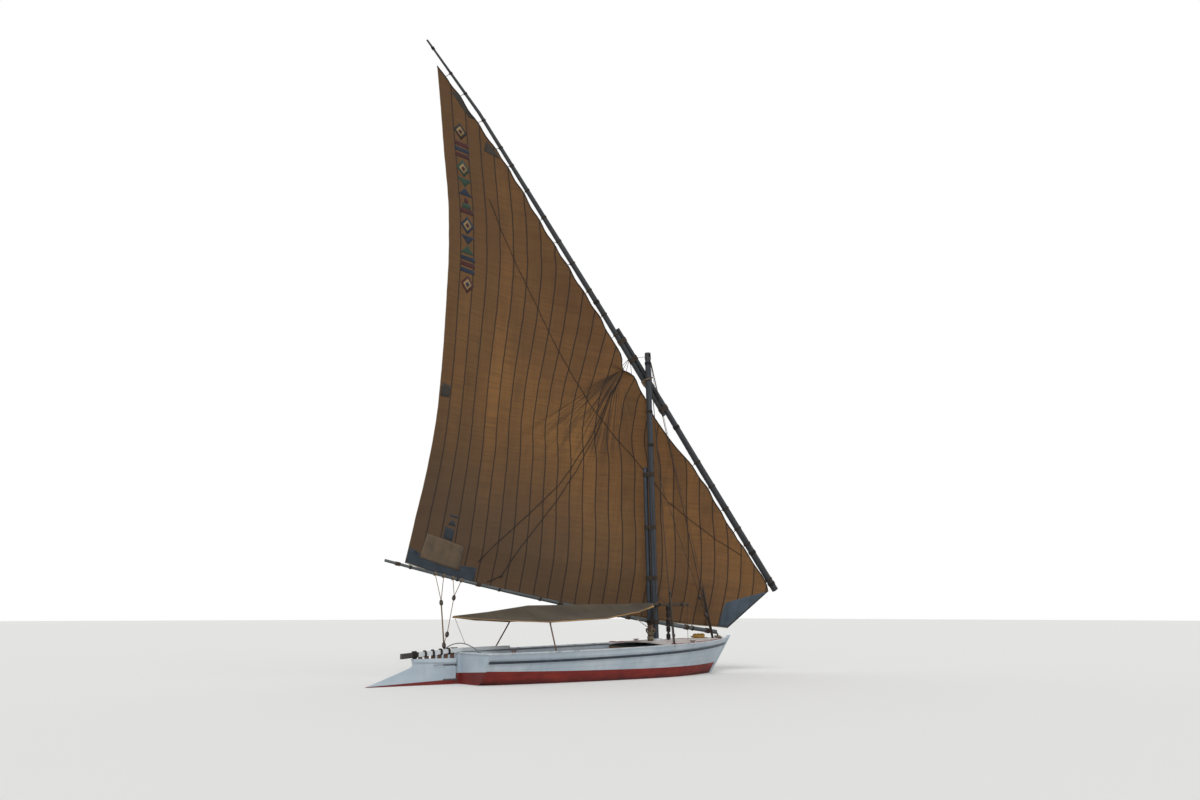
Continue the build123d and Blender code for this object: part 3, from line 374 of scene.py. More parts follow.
def laid_rope(name, pale, dark):
    """Three-strand rope: U runs once round the rope, V along it in metres."""
    material, tree, shader = new_material(name, 0.85)
    place = add(tree, "ShaderNodeSeparateXYZ", {0: add(tree, "ShaderNodeTexCoord").outputs["UV"]})
    twist = sums(tree, "ADD", sums(tree, "MULTIPLY", place.outputs[0], 3.0),
                 sums(tree, "DIVIDE", place.outputs[1], ROPE_LAY))
    strand = add(tree, "ShaderNodeMath", {0: twist, 1: 0.5}, operation="PINGPONG").outputs[0]
    at = add(tree, "ShaderNodeTexCoord").outputs["Object"]
    fibre = stretched_noise(tree, at, (70.0, 70.0, 70.0), 3.0)
    # Painted shade in the grooves between strands and painted highlight on their crests, mixed with a real fibrous
    # mottle.
    light = sums(tree, "ADD", spread(tree, strand, 0.02, 0.3), sums(tree, "MULTIPLY", fibre, 0.6))
    body = mix(tree, spread(tree, light, 0.3, 1.4), colour(dark), colour(pale))
    tree.links.new(body, shader.inputs["Base Color"])
    bump(tree, shader, strand, 0.006)
    return material


steel = galvanised("galvanised_steel", "#6F7478", "#5B3A28")
rope_tan = laid_rope("weathered_manila_rope", "#8B7558", "#3E3226")
rope_dark = laid_rope("tarred_hemp_rope", "#4A3D31", "#1C1713")
rope_black = laid_rope("tarred_bolt_rope", "#2C2620", "#100D0B")
rope_white = laid_rope("bare_cotton_rope", "#B9AE98", "#7B705C")
twine = timber("whipping_twine", "#4C4034", "#231C16", (0, 0, 1), 0.9, 0.1)
print("steel and rope made")

# %% [markdown]
# ## Finishes of the solids that stay
# Each solid whose form is right keeps its mesh and only gets its finish here. A table of finishes and names is
# shorter than a line for each solid, and shows at a glance what shares a finish. Lashings, ties and sling are in it
# too, though pieces with real turns of rope stand for them further down. The sail and the awning are left out,
# because cloth is made anew.

# %% Dress the solids
FINISHES = (
    (white_topsides, ("side_port", "side_starboard", "stem")),
    (smooth_white, ("rudder_cheeks",)),
    (transom_paint, ("transom", "sternpost")),
    (rudder_paint, ("rudder_blade",)),
    (tiller_paint, ("tiller",)),
    (red_bottom, ("hull_bottom", "keel")),
    (rail_paint, ("rub_rail_port", "rub_rail_starboard")),
    (cap_paint, ("gunwale_port", "gunwale_starboard", "transom_cap", "mast_partners")),
    (deck_white, ("foredeck", "afterdeck")),
    (inside_oiled, ("cockpit_sole", "bench_port", "bench_starboard", "aft_bulkhead", "fore_bulkhead",
                    "mast_step")),
    (mast_slate, ("mast",)),
    (yard_tarred, ("yard_lower", "yard_upper")),
    (boom_silver, ("boom",)),
    (upright_oiled, ("mast_bitt", "bow_bitt", "stanchion_port", "stanchion_starboard", "tiller_chocks")),
    (post_tarred, ("masthead", "awning_post")),
    (thwart_oiled, ("awning_spreaders",)),
    (pole_oiled, ("awning_pole",)),
    (steel, ("sheet_horse", "rudder_gudgeons", "rudder_pintles")),
    (stay_tarred, ("shroud_starboard", "forestay")),
    (twine, ("tiller_lashing", "yard_lashings", "sling", "tack_knot", "luff_ties", "foot_ties")),
)
for finish, names in FINISHES:
    for name in names:
        nodes[name].data.materials.clear()
        nodes[name].data.materials.append(finish)
print(sum(len(names) for _, names in FINISHES), "solids dressed")

# %% [markdown]
# ## Helpers for meshes
# Ropes, poles and blocks are all round bodies along a line. Blender's own curves could make them one by one. Here a
# piece is gathered from chunks instead: each is a list of points, a list of faces and a UV pair for each face
# corner. That keeps one object for each body and kind of thing, with its origin at zero and its UV map in metres.

# %% Chunks and tubes
def tube(points, radius, sides=8, closed=False):
    """Chunk of a round tube along points, with U once round it and V along it in metres."""
    points = [Vector(p) for p in points]
    count = len(points)
    radii = radius if hasattr(radius, "__len__") else [radius] * count
    rings, frames, travelled = [], [], [0.0]
    for i, p in enumerate(points):
        ahead = points[(i + 1) % count] if closed or i < count - 1 else p
        behind = points[i - 1] if closed or i > 0 else p
        direction = (ahead - behind).normalized()
        if frames:
            last_direction, side = frames[-1]
            side = last_direction.rotation_difference(direction) @ side
        else:
            side = direction.orthogonal().normalized()
        frames.append((direction, side))
        other = direction.cross(side)
        rings.append([p + (side * math.cos(a) + other * math.sin(a)) * radii[i]
                      for a in (2 * math.pi * k / sides for k in range(sides))])
        if i:
            travelled.append(travelled[-1] + (p - points[i - 1]).length)
    travelled.append(travelled[-1] + (points[0] - points[-1]).length)
    verts = [v for ring in rings for v in ring]
    faces, uvs = [], []
    for i in range(count if closed else count - 1):
        j = (i + 1) % count
        for k in range(sides):
            n = (k + 1) % sides
            faces.append((i * sides + k, i * sides + n, j * sides + n, j * sides + k))
            u0, u1, v0, v1 = k / sides, (k + 1) / sides, travelled[i], travelled[i + 1]
            uvs.append(((u0, v0), (u1, v0), (u1, v1), (u0, v1)))
    if not closed:
        faces.append(tuple(reversed(range(sides))))
        faces.append(tuple(range((count - 1) * sides, count * sides)))
        uvs += [((0.0, 0.0),) * sides] * 2
    return verts, faces, uvs


def volume(verts, faces):
    """Signed volume inside closed faces: positive where they face outward."""
    return sum(verts[face[0]].dot(verts[face[i]].cross(verts[face[i + 1]]))
               for face in faces for i in range(1, len(face) - 1)) / 6


def settle(made, body):
    """Links an object and, if a body is given, sets its body, and returns it."""
    bpy.context.scene.collection.objects.link(made)
    if body:
        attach(made, body)
    return made


def piece(name, chunks, finish, body):
    """Object made of closed chunks, which rides on a body."""
    verts, faces, uvs = [], [], []
    for chunk_verts, chunk_faces, chunk_uvs in chunks:
        step = 1 if volume([Vector(v) for v in chunk_verts], chunk_faces) > 0 else -1
        start = len(verts)
        verts += [tuple(v) for v in chunk_verts]
        faces += [tuple(start + i for i in face[::step]) for face in chunk_faces]
        uvs += [corners[::step] for corners in chunk_uvs]
    mesh = bpy.data.meshes.new(name)
    mesh.from_pydata(verts, [], faces)
    layer = mesh.uv_layers.new(name="UVMap")
    layer.data.foreach_set("uv", [c for face in uvs for corner in face for c in corner])
    mesh.polygons.foreach_set("use_smooth", [True] * len(mesh.polygons))
    mesh.materials.append(finish)
    return settle(bpy.data.objects.new(name, mesh), body)


def curve_between(start, end, sag, steps):
    """Points of a slack line: sag is its drop in the middle."""
    return [start.lerp(end, t) - Vector((0, 0, 4 * sag * t * (1 - t)))
            for t in (i / steps for i in range(steps + 1))]


print("mesh helpers ready")

# %% [markdown]
# ## Where the spars lie
# The yard is two trees lashed together, each a little bent, so a spar is a table of stations: share of the yard's
# line, distance outward from it, radius. The boom sags between its ends, and the mast leans aft. The solids already
# show all three. They are stated again as functions, because ties, lashings and lines need the centre and radius of
# a spar at any place, which a finished mesh doesn't tell.

# %% Spars as functions
YARD_DIR = (YARD_PEAK - YARD_LOW).normalized()
LEE_DIR = YARD_DIR.cross(Vector((0, 0, 1))).normalized()
OUT_DIR = LEE_DIR.cross(YARD_DIR).normalized()
LOWER_SPAR = ((0.0, 0.0, 0.118), (0.2355, 0.099, 0.114), (0.34, 0.172, 0.100), (0.478, 0.268, 0.062))
UPPER_SPAR = ((0.3253, -0.030, 0.066), (0.4, 0.036, 0.088), (0.51, 0.112, 0.098), (0.668, 0.147, 0.088),
              (0.868, 0.197, 0.060), (1.0, 0.0, 0.034))
UPPER_FROM = 0.4  # above this share of the yard the sail hangs on the upper spar
BOOM_SAG, BOOM_RADIUS = 0.17, (0.074, 0.046)
BOOM_DIR = (BOOM_AFT - BOOM_FORE).normalized()


def on_spar(stations, share):
    """Centre and radius of a spar of the yard."""
    shares, offsets, radii = zip(*stations)
    centre = YARD_LOW.lerp(YARD_PEAK, share) + OUT_DIR * float(np.interp(share, shares, offsets))
    return centre, float(np.interp(share, shares, radii))


def on_yard(share):
    """Centre and radius of the spar that carries the sail."""
    return on_spar(UPPER_SPAR if share >= UPPER_FROM else LOWER_SPAR, share)


def on_boom(share):
    """Centre and radius of the boom."""
    centre = BOOM_FORE.lerp(BOOM_AFT, share) - Vector((0, 0, BOOM_SAG * 4 * share * (1 - share)))
    return centre, BOOM_RADIUS[0] + (BOOM_RADIUS[1] - BOOM_RADIUS[0]) * share


def on_mast(z, forward=0.0, port=0.0):
    """Point beside the mast's axis."""
    return Vector((MAST_BASE_X - MAST_RAKE * z + forward, port, z))


print("masthead", [round(v, 2) for v in on_mast(11.02)], "boom end", [round(v, 2) for v in on_boom(1.0)[0]])

# %% [markdown]
# ## The sail's form
# A lateen sail hangs on the yard by its long front edge, the luff. Its free after edge is the leech, and its foot
# is laced along the lee side of the boom. The form is a table of rows: where the row starts on the yard's line,
# where it ends on the leech, and how deep the wind presses it. Smooth curves run through the rows, and the cloth
# droops a little between one luff tie and the next. A cloth simulation could blow the sail full, but it would not
# stop at this sail's own outline. The table does, and it gives the same shape on every run.

# %% Sail rows
TACK_CORNER = Vector((5.590, -0.040, 1.540))
CLEW = Vector((-5.890, 2.8205, 3.660))
HEAD = Vector((-5.640, 2.200, 20.880))
# Share of the yard's line, and the luff's distance outward from that line in metres
LUFF_LINE = ((0.0061, -0.266), (0.0197, -0.155), (0.0475, -0.109), (0.0858, -0.167), (0.1143, -0.184),
             (0.151, -0.161), (0.1923, -0.107), (0.2364, -0.157), (0.2756, -0.311), (0.3001, -0.365),
             (0.3331, -0.397), (0.3618, -0.302), (0.3798, -0.290), (0.3995, -0.201), (0.4175, -0.190),
             (0.4294, -0.231), (0.4478, -0.164), (0.4713, -0.156), (0.5076, -0.078), (0.5512, -0.081),
             (0.5997, -0.068), (0.6394, -0.071), (0.6821, -0.054), (0.7302, -0.003), (0.7744, 0.009),
             (0.806, -0.003), (0.8548, -0.051), (0.9031, -0.082), (0.9398, -0.161), (0.9584, -0.217))
TIE_SHARES = (0.0197, 0.0858, 0.1143, 0.151, 0.1923, 0.2364, 0.4713, 0.5076, 0.5512, 0.5997, 0.6394, 0.6821,
              0.7302, 0.7744, 0.806, 0.8548, 0.9031, 0.9398)
# Share of the yard's line, share of the line from clew to head, shift forward, shift to starboard, belly
LEECH_ROWS = ((0.0061, 0.0459, 0.1435, 0.0265, 0.38), (0.05, 0.0778, 0.2305, 0.0468, 0.47),
              (0.1923, 0.1882, 0.553, 0.1133, 0.68), (0.3, 0.3101, 0.7525, 0.1877, 0.70),
              (0.4, 0.4495, 0.8026, 0.2093, 0.64), (0.5076, 0.5656, 0.8036, 0.2043, 0.50),
              (0.64, 0.6876, 0.7081, 0.1887, 0.31), (0.7744, 0.838, 0.3705, 0.1104, 0.13),
              (0.86, 0.9199, 0.190, 0.0547, 0.06), (0.9584, 1.0, 0.0, 0.0, 0.012))
FOOT_BELLY = 0.085
# Share of the foot from tack to clew, and its droop below the straight line
FOOT_DROOP = ((0.0, 0.0), (0.05, 0.05), (0.1, 0.115), (0.2, 0.205), (0.3, 0.245), (0.5, 0.275), (0.7, 0.255),
              (0.8, 0.24), (0.9, 0.18), (0.95, 0.08), (1.0, 0.0))
FOOT_ROWS, LUFF_ROWS, COLUMNS = 16, 240, 160
SCALLOP = 0.045  # droop of the luff between ties, as a share of their distance
WIDEST_SCALLOP = 0.1  # ties further apart than this leave no droop


def soft_interp(x, xs, ys):
    """Monotone smooth interpolation through a table."""
    xs, ys = np.asarray(xs, float), np.asarray(ys, float)
    slopes = np.diff(ys) / np.diff(xs)
    after, before = slopes[1:], slopes[:-1]
    inner = np.where(after * before > 0, 2 * after * before / (after + before + 1e-12), 0)
    tangents = np.concatenate([[slopes[0]], inner, [slopes[-1]]])
    i = np.clip(np.searchsorted(xs, x) - 1, 0, len(xs) - 2)
    h = xs[i + 1] - xs[i]
    t = np.clip((x - xs[i]) / h, 0, 1)
    return ((1 + 2 * t) * (1 - t) ** 2 * ys[i] + t * (1 - t) ** 2 * h * tangents[i]
            + t * t * (3 - 2 * t) * ys[i + 1] + t * t * (t - 1) * h * tangents[i + 1])


def luff_offset(share):
    """Distance of the luff outward from the yard's line, with the droop between ties."""
    base = soft_interp(share, *zip(*LUFF_LINE))
    ties = np.array(TIE_SHARES)
    i = int(np.searchsorted(ties, share))
    if 0 < i < len(ties) and ties[i] - ties[i - 1] < WIDEST_SCALLOP:
        gap = ties[i] - ties[i - 1]
        droop = SCALLOP * gap * (YARD_PEAK - YARD_LOW).length
        base -= droop * math.sin(math.pi * (share - ties[i - 1]) / gap) ** 2
    return float(base)


def sail_row(t):
    """Luff point, leech point, belly and share of the foot's form of the row at t: -1 foot, 0 yard's end, 1 head."""
    luff_0 = YARD_LOW.lerp(YARD_PEAK, LUFF_LINE[0][0]) + OUT_DIR * LUFF_LINE[0][1]
    shares, rises, forwards, starboards, bellies = zip(*LEECH_ROWS)
    if t <= 0:
        part = t + 1
        luff = TACK_CORNER.lerp(luff_0, part)
        rise, forward, starboard = (v[0] * part for v in (rises, forwards, starboards))
        belly = FOOT_BELLY + (bellies[0] - FOOT_BELLY) * part ** 0.7
    else:
        part = 1.0
        share = shares[0] + (shares[-1] - shares[0]) * t
        luff = YARD_LOW.lerp(YARD_PEAK, share) + OUT_DIR * luff_offset(share)
        rise, forward, starboard, belly = (float(soft_interp(share, shares, v))
                                           for v in (rises, forwards, starboards, bellies))
    leech = CLEW.lerp(HEAD, rise) + Vector((forward, -starboard, 0))
    return luff, leech, belly, 1 - part


ROW_PLACES = [i / FOOT_ROWS - 1 for i in range(FOOT_ROWS)] + [i / LUFF_ROWS for i in range(LUFF_ROWS + 1)]
SAIL_TABLE = [sail_row(t) for t in ROW_PLACES]
print(len(SAIL_TABLE), "rows of the sail")

# %% [markdown]
# Between its ends a row is bowed to leeward. At one notch in the luff, just above the sling, two brailing lines pull
# the cloth in, and creases fan out from there. Shallow ripples cross the cloth, most of all along the leech. The
# creases could be sculpted by hand. Sums of bell curves and noise do the same from a table, and a grid through all
# of it is the sail.

# %% Sail surface
NOTCH_SHARE = 0.4202  # share of the yard's line where the brails pull the luff in
NOTCH_PLACE = YARD_LOW.lerp(YARD_PEAK, NOTCH_SHARE) - OUT_DIR * 0.46
NOTCH_PULL, NOTCH_HALF, NOTCH_INTO = 0.25, 0.010, 0.9  # metres, share of the yard, metres along the row
# Direction of each crease from straight aft down to straight below, in radians, and its depth in metres
CREASES = ((-0.55, 0.030), (-0.70, 0.085), (-0.82, 0.040), (-0.93, 0.070), (-1.03, 0.040), (-1.14, 0.065),
           (-1.25, 0.036), (-1.37, 0.050), (-1.50, 0.030), (-1.66, 0.026))
CREASE_REACH = 6.5
CREASE_WIDTH = 0.036


def crease_depth(point):
    """Depth of the creases that run down and aft from the notch."""
    away = point - NOTCH_PLACE
    reach = math.hypot(away.x, away.z)
    if reach < 0.05 or reach > CREASE_REACH or away.z > 0.3:
        return 0.0
    angle = math.atan2(-away.x, -away.z) - math.pi / 2
    fade = (1 - reach / CREASE_REACH) ** 1.6 * min(1.0, reach / 1.1)
    return fade * sum(depth * math.exp(-((angle - at) / CREASE_WIDTH) ** 2) for at, depth in CREASES)


def sail_point(s, row):
    """Point of the sail at a share s from luff to leech of one row."""
    luff, leech, belly, foot = row
    chord = (leech - luff).normalized()
    lee = (LEE_DIR - chord * LEE_DIR.dot(chord)).normalized()
    bow, flat = 4 * s * (1 - s), 1 - (2 * s - 1) ** 6
    point = luff.lerp(leech, s) + lee * (belly * (bow * (1 - foot) + flat * foot))
    if foot:
        point.z -= foot * float(soft_interp(s, *zip(*FOOT_DROOP)))
    from_notch = ((luff - YARD_LOW).dot(YARD_DIR) / (YARD_PEAK - YARD_LOW).length - NOTCH_SHARE) / NOTCH_HALF
    if abs(from_notch) < 3:
        into = max(0.0, 1 - s * (leech - luff).length / NOTCH_INTO)
        point -= OUT_DIR * (NOTCH_PULL * math.exp(-from_notch ** 2) * into ** 2)
    ripple = 0.014 * noise.noise(point * 0.9) + 0.006 * noise.noise(point * 2.6 + Vector((7, 0, 0)))
    edge = 0.010 * math.sin(point.z * 9 + 3 * noise.noise(point)) * max(0.0, s - 0.9) / 0.1
    calm = min(1.0, (leech - luff).length / 2) * (1 - 0.8 * foot)
    return point + lee * ((ripple + edge) * calm + crease_depth(point))


SAIL_GRID = np.array([[sail_point(c / COLUMNS, row) for c in range(COLUMNS + 1)] for row in SAIL_TABLE])
LEECH_LENGTH = np.concatenate([[0], np.cumsum(np.linalg.norm(np.diff(SAIL_GRID[:, -1], axis=0), axis=1))])
AFT_FIRST = SAIL_GRID[:, ::-1]
FROM_LEECH = np.concatenate([np.zeros((len(SAIL_GRID), 1)),
                             np.cumsum(np.linalg.norm(np.diff(AFT_FIRST, axis=1), axis=2), axis=1)], axis=1)
print("leech", round(float(LEECH_LENGTH[-1]), 2), "m, widest row", round(float(FROM_LEECH.max()), 2), "m")

# %% [markdown]
# A place on the cloth is given as a sailmaker would: metres from the leech along its row, and metres up the leech.
# One function turns such a place into a point, lifted off the cloth where something lies on it. A shrinkwrap
# modifier could press such things on instead, but this way they follow both faces and never sink in.

# %% Places on the cloth
def on_row(row, across):
    """Point of one row at a distance from the leech."""
    return np.array([np.interp(across, FROM_LEECH[row], AFT_FIRST[row, :, axis]) for axis in range(3)])


def row_at(up):
    """Index of the row below a length up the leech, and the share of the way to the next."""
    row = int(np.clip(np.searchsorted(LEECH_LENGTH, up) - 1, 0, len(LEECH_LENGTH) - 2))
    part = (up - LEECH_LENGTH[row]) / (LEECH_LENGTH[row + 1] - LEECH_LENGTH[row])
    return row, float(np.clip(part, 0, 1))


def luff_at(up):
    """Distance from the leech to the luff on the row at a length up the leech."""
    row, part = row_at(up)
    return FROM_LEECH[row, -1] * (1 - part) + FROM_LEECH[row + 1, -1] * part


def cloth_point(across, up, lift=0.0):
    """Point on the cloth; lift is to leeward, in metres."""
    row, part = row_at(up)
    point = on_row(row, across) * (1 - part) + on_row(row + 1, across) * part
    if lift:
        sideways = on_row(row, across + 0.03) - on_row(row, across - 0.03)
        normal = Vector(np.cross(sideways, on_row(row + 1, across) - on_row(row, across))).normalized()
        point = point + np.array(normal) * (lift if normal.dot(LEE_DIR) > 0 else -lift)
    return Vector(point)


def over_cloth(places, lift, step=0.15):
    """Points of a line that follows the cloth through places, a step in metres apart."""
    result = []
    for (u0, v0), (u1, v1) in zip(places, places[1:]):
        count = max(1, round(math.hypot(u1 - u0, v1 - v0) / step))
        result += [cloth_point(u0 + (u1 - u0) * i / count, v0 + (v1 - v0) * i / count, lift)
                   for i in range(count)]
    return [*result, cloth_point(*places[-1], lift)]


print("middle of the leech", [round(v, 2) for v in cloth_point(0, LEECH_LENGTH[-1] / 2)])

# %% [markdown]
# The cloth itself is cotton canvas in panels about half a metre wide, sewn side by side and parallel to the leech.
# To the eye it is dull and fibrous, tan gone brown with age. Painted shade darkens it towards the head, along the
# leech and, greyer, at the clew, and in the creases from the notch, where the ridges carry a painted highlight. Each
# seam, where two layers lap, shows as a dark line, and uneven threads show as faint streaks. Panels could be cut as
# separate meshes, but one sheet bends as one. One UV map holds metres, across from the leech and up along it. A
# second one counts panels, whose width changes a little from foot to head, so every seam keeps its course.

# %% Sail cloth finish
# Place of a row from foot to head, and the width of a panel there in metres
PANEL_WIDTHS = ((-1, 0.51), (0, 0.507), (0.08, 0.50), (0.15, 0.487), (0.23, 0.475), (0.30, 0.457), (0.36, 0.465),
                (0.43, 0.487), (0.5, 0.503), (0.6, 0.51), (0.65, 0.50), (0.75, 0.49), (1, 0.49))
SEAM_LAP = 0.042  # lap of two panels as a share of a panel
THREAD = 0.012  # weave pitch, drawn far coarser than the real 0.6 mm so that it shows
WEAVE_DEPTH = 0.002
PLEATS_PER_RADIAN = 30.0
PLEAT_REACH = 3.8  # metres from the notch to where the last pleat dies out
PLEAT_DEPTH = 6.0  # depth of a pleat, counted in weaves


def woven(tree, across, up):
    """Height of a plain weave."""
    weft = sums(tree, "PINGPONG", up, THREAD / 2)
    warp = sums(tree, "PINGPONG", across, THREAD / 2)
    return sums(tree, "MULTIPLY", sums(tree, "ADD", weft, warp), 0.5 / THREAD)


def pleats(tree, at):
    """Pleats from the notch: masks of creases, painted as shade and dented, and of ridges, painted as highlight."""
    axes = add(tree, "ShaderNodeSeparateXYZ", {0: at}).outputs
    aft, down = sums(tree, "SUBTRACT", NOTCH_PLACE.x, axes[0]), sums(tree, "SUBTRACT", NOTCH_PLACE.z, axes[2])
    angle = sums(tree, "ARCTAN2", down, aft)
    reach = add(tree, "ShaderNodeMath", {0: sums(tree, "ADD", sums(tree, "MULTIPLY", aft, aft),
                                                 sums(tree, "MULTIPLY", down, down))}, operation="SQRT").outputs[0]
    fan = add(tree, "ShaderNodeCombineXYZ", {0: sums(tree, "MULTIPLY", angle, PLEATS_PER_RADIAN),
                                             1: sums(tree, "MULTIPLY", reach, 0.5)}).outputs[0]
    wave = stretched_noise(tree, fan, (1.0, 1.0, 1.0), 2.0)
    crease_shade_and_dents, ridges = spread(tree, wave, 0.50, 0.60), spread(tree, wave, 0.47, 0.38)
    near = spread(tree, reach, PLEAT_REACH, 0.8)
    inside = sums(tree, "MULTIPLY", spread(tree, angle, 0.52, 0.70), spread(tree, angle, 1.95, 1.5))
    gather = sums(tree, "MULTIPLY", spread(tree, reach, 1.5, 0.3), spread(tree, angle, 1.15, 0.85),
                  spread(tree, angle, 0.45, 0.65))
    return (sums(tree, "MAXIMUM", sums(tree, "MULTIPLY", crease_shade_and_dents, near, inside), gather),
            sums(tree, "MULTIPLY", ridges, near, inside))


def sail_cloth(name, pale, tan, brown, seam_shade, lee_shade):
    """Sun-worn cotton canvas in sewn panels, with painted shade and painted highlight."""
    material, tree, shader = new_material(name, 0.9, Sheen_Weight=0.08)
    uv = add(tree, "ShaderNodeUVMap", uv_map="UVMap").outputs[0]
    axes = add(tree, "ShaderNodeSeparateXYZ", {0: uv})
    across, up = axes.outputs[0], axes.outputs[1]
    panels = add(tree, "ShaderNodeUVMap", uv_map="Panels").outputs[0]
    count = add(tree, "ShaderNodeSeparateXYZ", {0: panels}).outputs[0]
    wander = stretched_noise(tree, uv, (0.5, 0.3, 1.0), 2.0)
    place = sums(tree, "ADD", count, sums(tree, "MULTIPLY", wander, 0.14))
    number = add(tree, "ShaderNodeMath", {0: place}, operation="FLOOR").outputs[0]
    tint = add(tree, "ShaderNodeTexWhiteNoise", {"W": number}, noise_dimensions="1D").outputs[0]
    own = add(tree, "ShaderNodeCombineXYZ", {0: across, 1: up, 2: sums(tree, "MULTIPLY", number, 3.7)}).outputs[0]
    streaks = stretched_noise(tree, own, (0.7, 13.0, 1.0), 5.0)
    runs = stretched_noise(tree, own, (7.0, 0.5, 1.0), 4.0)
    clouds = stretched_noise(tree, uv, (0.22, 0.16, 1.0), 4.0)
    stains = spread(tree, stretched_noise(tree, uv, (1.2, 0.5, 1.0), 5.0), 0.56, 0.74)
    body = mix(tree, spread(tree, clouds, 0.35, 0.65), colour(tan), colour(pale))
    # Of these masks the last darkens the cloth towards the head, as painted shade. The others are real stains.
    for mask, share in ((tint, 0.34), (spread(tree, streaks, 0.38, 0.72), 0.42),
                        (spread(tree, runs, 0.45, 0.8), 0.30), (stains, 0.35),
                        (spread(tree, up, 6.0, 19.0), 0.48)):
        body = stain(tree, body, mask, share, brown)
    # Painted shade: darker along the leech and, greyer, at the clew.
    clew_shade_mask = spread(tree, sums(tree, "ADD", up, sums(tree, "MULTIPLY", across, 0.42)), 6.4, 2.6)
    body = stain(tree, body, spread(tree, across, 2.4, 0.2), 0.42, brown)
    body = stain(tree, body, clew_shade_mask, 0.72, lee_shade)
    crease_shade_and_dents, ridges = pleats(tree, add(tree, "ShaderNodeTexCoord").outputs["Object"])
    # Painted highlight on the ridges of the pleats, and painted shade in their creases and where the cloth gathers at
    # the notch.
    body = stain(tree, body, ridges, 0.45, pale)
    body = stain(tree, body, crease_shade_and_dents, 0.9, seam_shade)
    lap = seam_mask(tree, place, 1.0, SEAM_LAP)
    tree.links.new(stain(tree, body, lap, 0.92, seam_shade), shader.inputs["Base Color"])
    dents = sums(tree, "MULTIPLY", crease_shade_and_dents, -PLEAT_DEPTH)
    bump(tree, shader, sums(tree, "ADD", woven(tree, across, up), lap, dents), WEAVE_DEPTH)
    return material


canvas = sail_cloth("sewn_cotton_canvas", "#875F30", "#6E4A26", "#46301A", "#21170E", "#463728")
print("sail cloth made")

# %% [markdown]
# The sheet is the grid of points with a thickness from a modifier. It could be a closed form from the start, but the
# modifier keeps both faces the same distance apart and closes the rim by itself.

# %% Sail mesh
SAIL_THICK = 0.003


def sheet_mesh(name, grid, finish, thickness, **maps):
    """Sheet of cloth through a grid of points, with a UV map for each grid of pairs in maps."""
    rows, cols = grid.shape[:2]
    index = np.arange(rows * cols).reshape(rows, cols)
    quads = np.stack([index[:-1, :-1], index[:-1, 1:], index[1:, 1:], index[1:, :-1]], axis=-1).reshape(-1, 4)
    mesh = bpy.data.meshes.new(name)
    mesh.from_pydata(grid.reshape(-1, 3).tolist(), [], quads.tolist())
    for key, pairs in maps.items():
        layer = mesh.uv_layers.new(name=key)
        layer.data.foreach_set("uv", pairs.reshape(-1, 2)[quads.reshape(-1)].ravel().tolist())
    mesh.polygons.foreach_set("use_smooth", [True] * len(mesh.polygons))
    mesh.materials.append(finish)
    made = bpy.data.objects.new(name, mesh)
    bpy.context.scene.collection.objects.link(made)
    solid = made.modifiers.new("thickness", "SOLIDIFY")
    solid.thickness, solid.offset = thickness, 0.0
    return made


up_leech = np.repeat(LEECH_LENGTH[:, None], COLUMNS + 1, axis=1)
from_leech = FROM_LEECH[:, ::-1]
panel_width = soft_interp(np.array(ROW_PLACES), *zip(*PANEL_WIDTHS))[:, None]
sail = sheet_mesh("sail_canvas", SAIL_GRID, canvas, SAIL_THICK, UVMap=np.stack([from_leech, up_leech], axis=-1),
                  Panels=np.stack([from_leech / panel_width, up_leech], axis=-1))
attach(sail, "rig")
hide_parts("sail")

# %% [markdown]
# ## Patches and painted ornament
# Old sails are mended with dark squares of cloth, and the corners are doubled. A strip of shapes runs down the
# leech: lozenges, bars, steps and hourglasses in green, navy and red-brown, the lozenges with a pale ring inside.
# Three plain slate marks stand above the patch at the clew. To the eye all of them are flat, faded dyes on the same
# weave. They could be masks in the sail's material. As thin closed plates that follow the cloth they keep sharp
# edges, and they show on both its faces, as sewn-through cloth does.

# %% Dyed cloths
MOTTLE = 0.35  # share of the darker shade where a dyed cloth has faded unevenly


def dyed_cloth(name, light, dark):
    """Plain canvas of one dye."""
    material, tree, shader = new_material(name, 0.88, Sheen_Weight=0.1)
    uv = add(tree, "ShaderNodeUVMap", uv_map="UVMap").outputs[0]
    axes = add(tree, "ShaderNodeSeparateXYZ", {0: uv})
    faded = spread(tree, stretched_noise(tree, uv, (3.0, 2.2, 1.0), 5.0), 0.4, 0.75)
    streaks = spread(tree, stretched_noise(tree, uv, (1.5, 22.0, 1.0), 3.0), 0.4, 0.8)
    body = mix(tree, faded, colour(light), colour(dark))
    tree.links.new(stain(tree, body, streaks, MOTTLE, dark), shader.inputs["Base Color"])
    bump(tree, shader, woven(tree, axes.outputs[0], axes.outputs[1]), WEAVE_DEPTH)
    return material


doubled = dyed_cloth("doubled_corner_canvas", "#2E3841", "#20282F")
mended = dyed_cloth("mending_canvas", "#37322C", "#26211C")
dark_mark = dyed_cloth("slate_marking_paint", "#262D33", "#1A2025")
slate_cloth = dyed_cloth("slate_tack_canvas", "#46525D", "#323C46")
faint = dyed_cloth("newer_sail_canvas", "#625240", "#4B3F32")
pale_dye = dyed_cloth("pale_painted_ground", "#917852", "#776040")
outline_dye = dyed_cloth("brown_black_dye", "#2A2018", "#1C1510")
green_dye = dyed_cloth("bottle_green_dye", "#263D2E", "#1A2C21")
navy_dye = dyed_cloth("navy_dye", "#1C2636", "#131A26")
red_dye = dyed_cloth("red_brown_dye", "#431B17", "#301310")
print("dyed cloths made")

# %% [markdown]
# A plate is filled from its middle in rings, so that it bends with the cloth under it, and its rim joins both faces.
# A flat polygon would cut through the belly of the sail.

# %% Plates on the cloth
PLATE_LIFT = 0.0035  # a plate's faces from the middle of the cloth
PLATE_STEP = 0.15
LUFF_MARGIN = 0.005  # a plate ends this far short of the luff


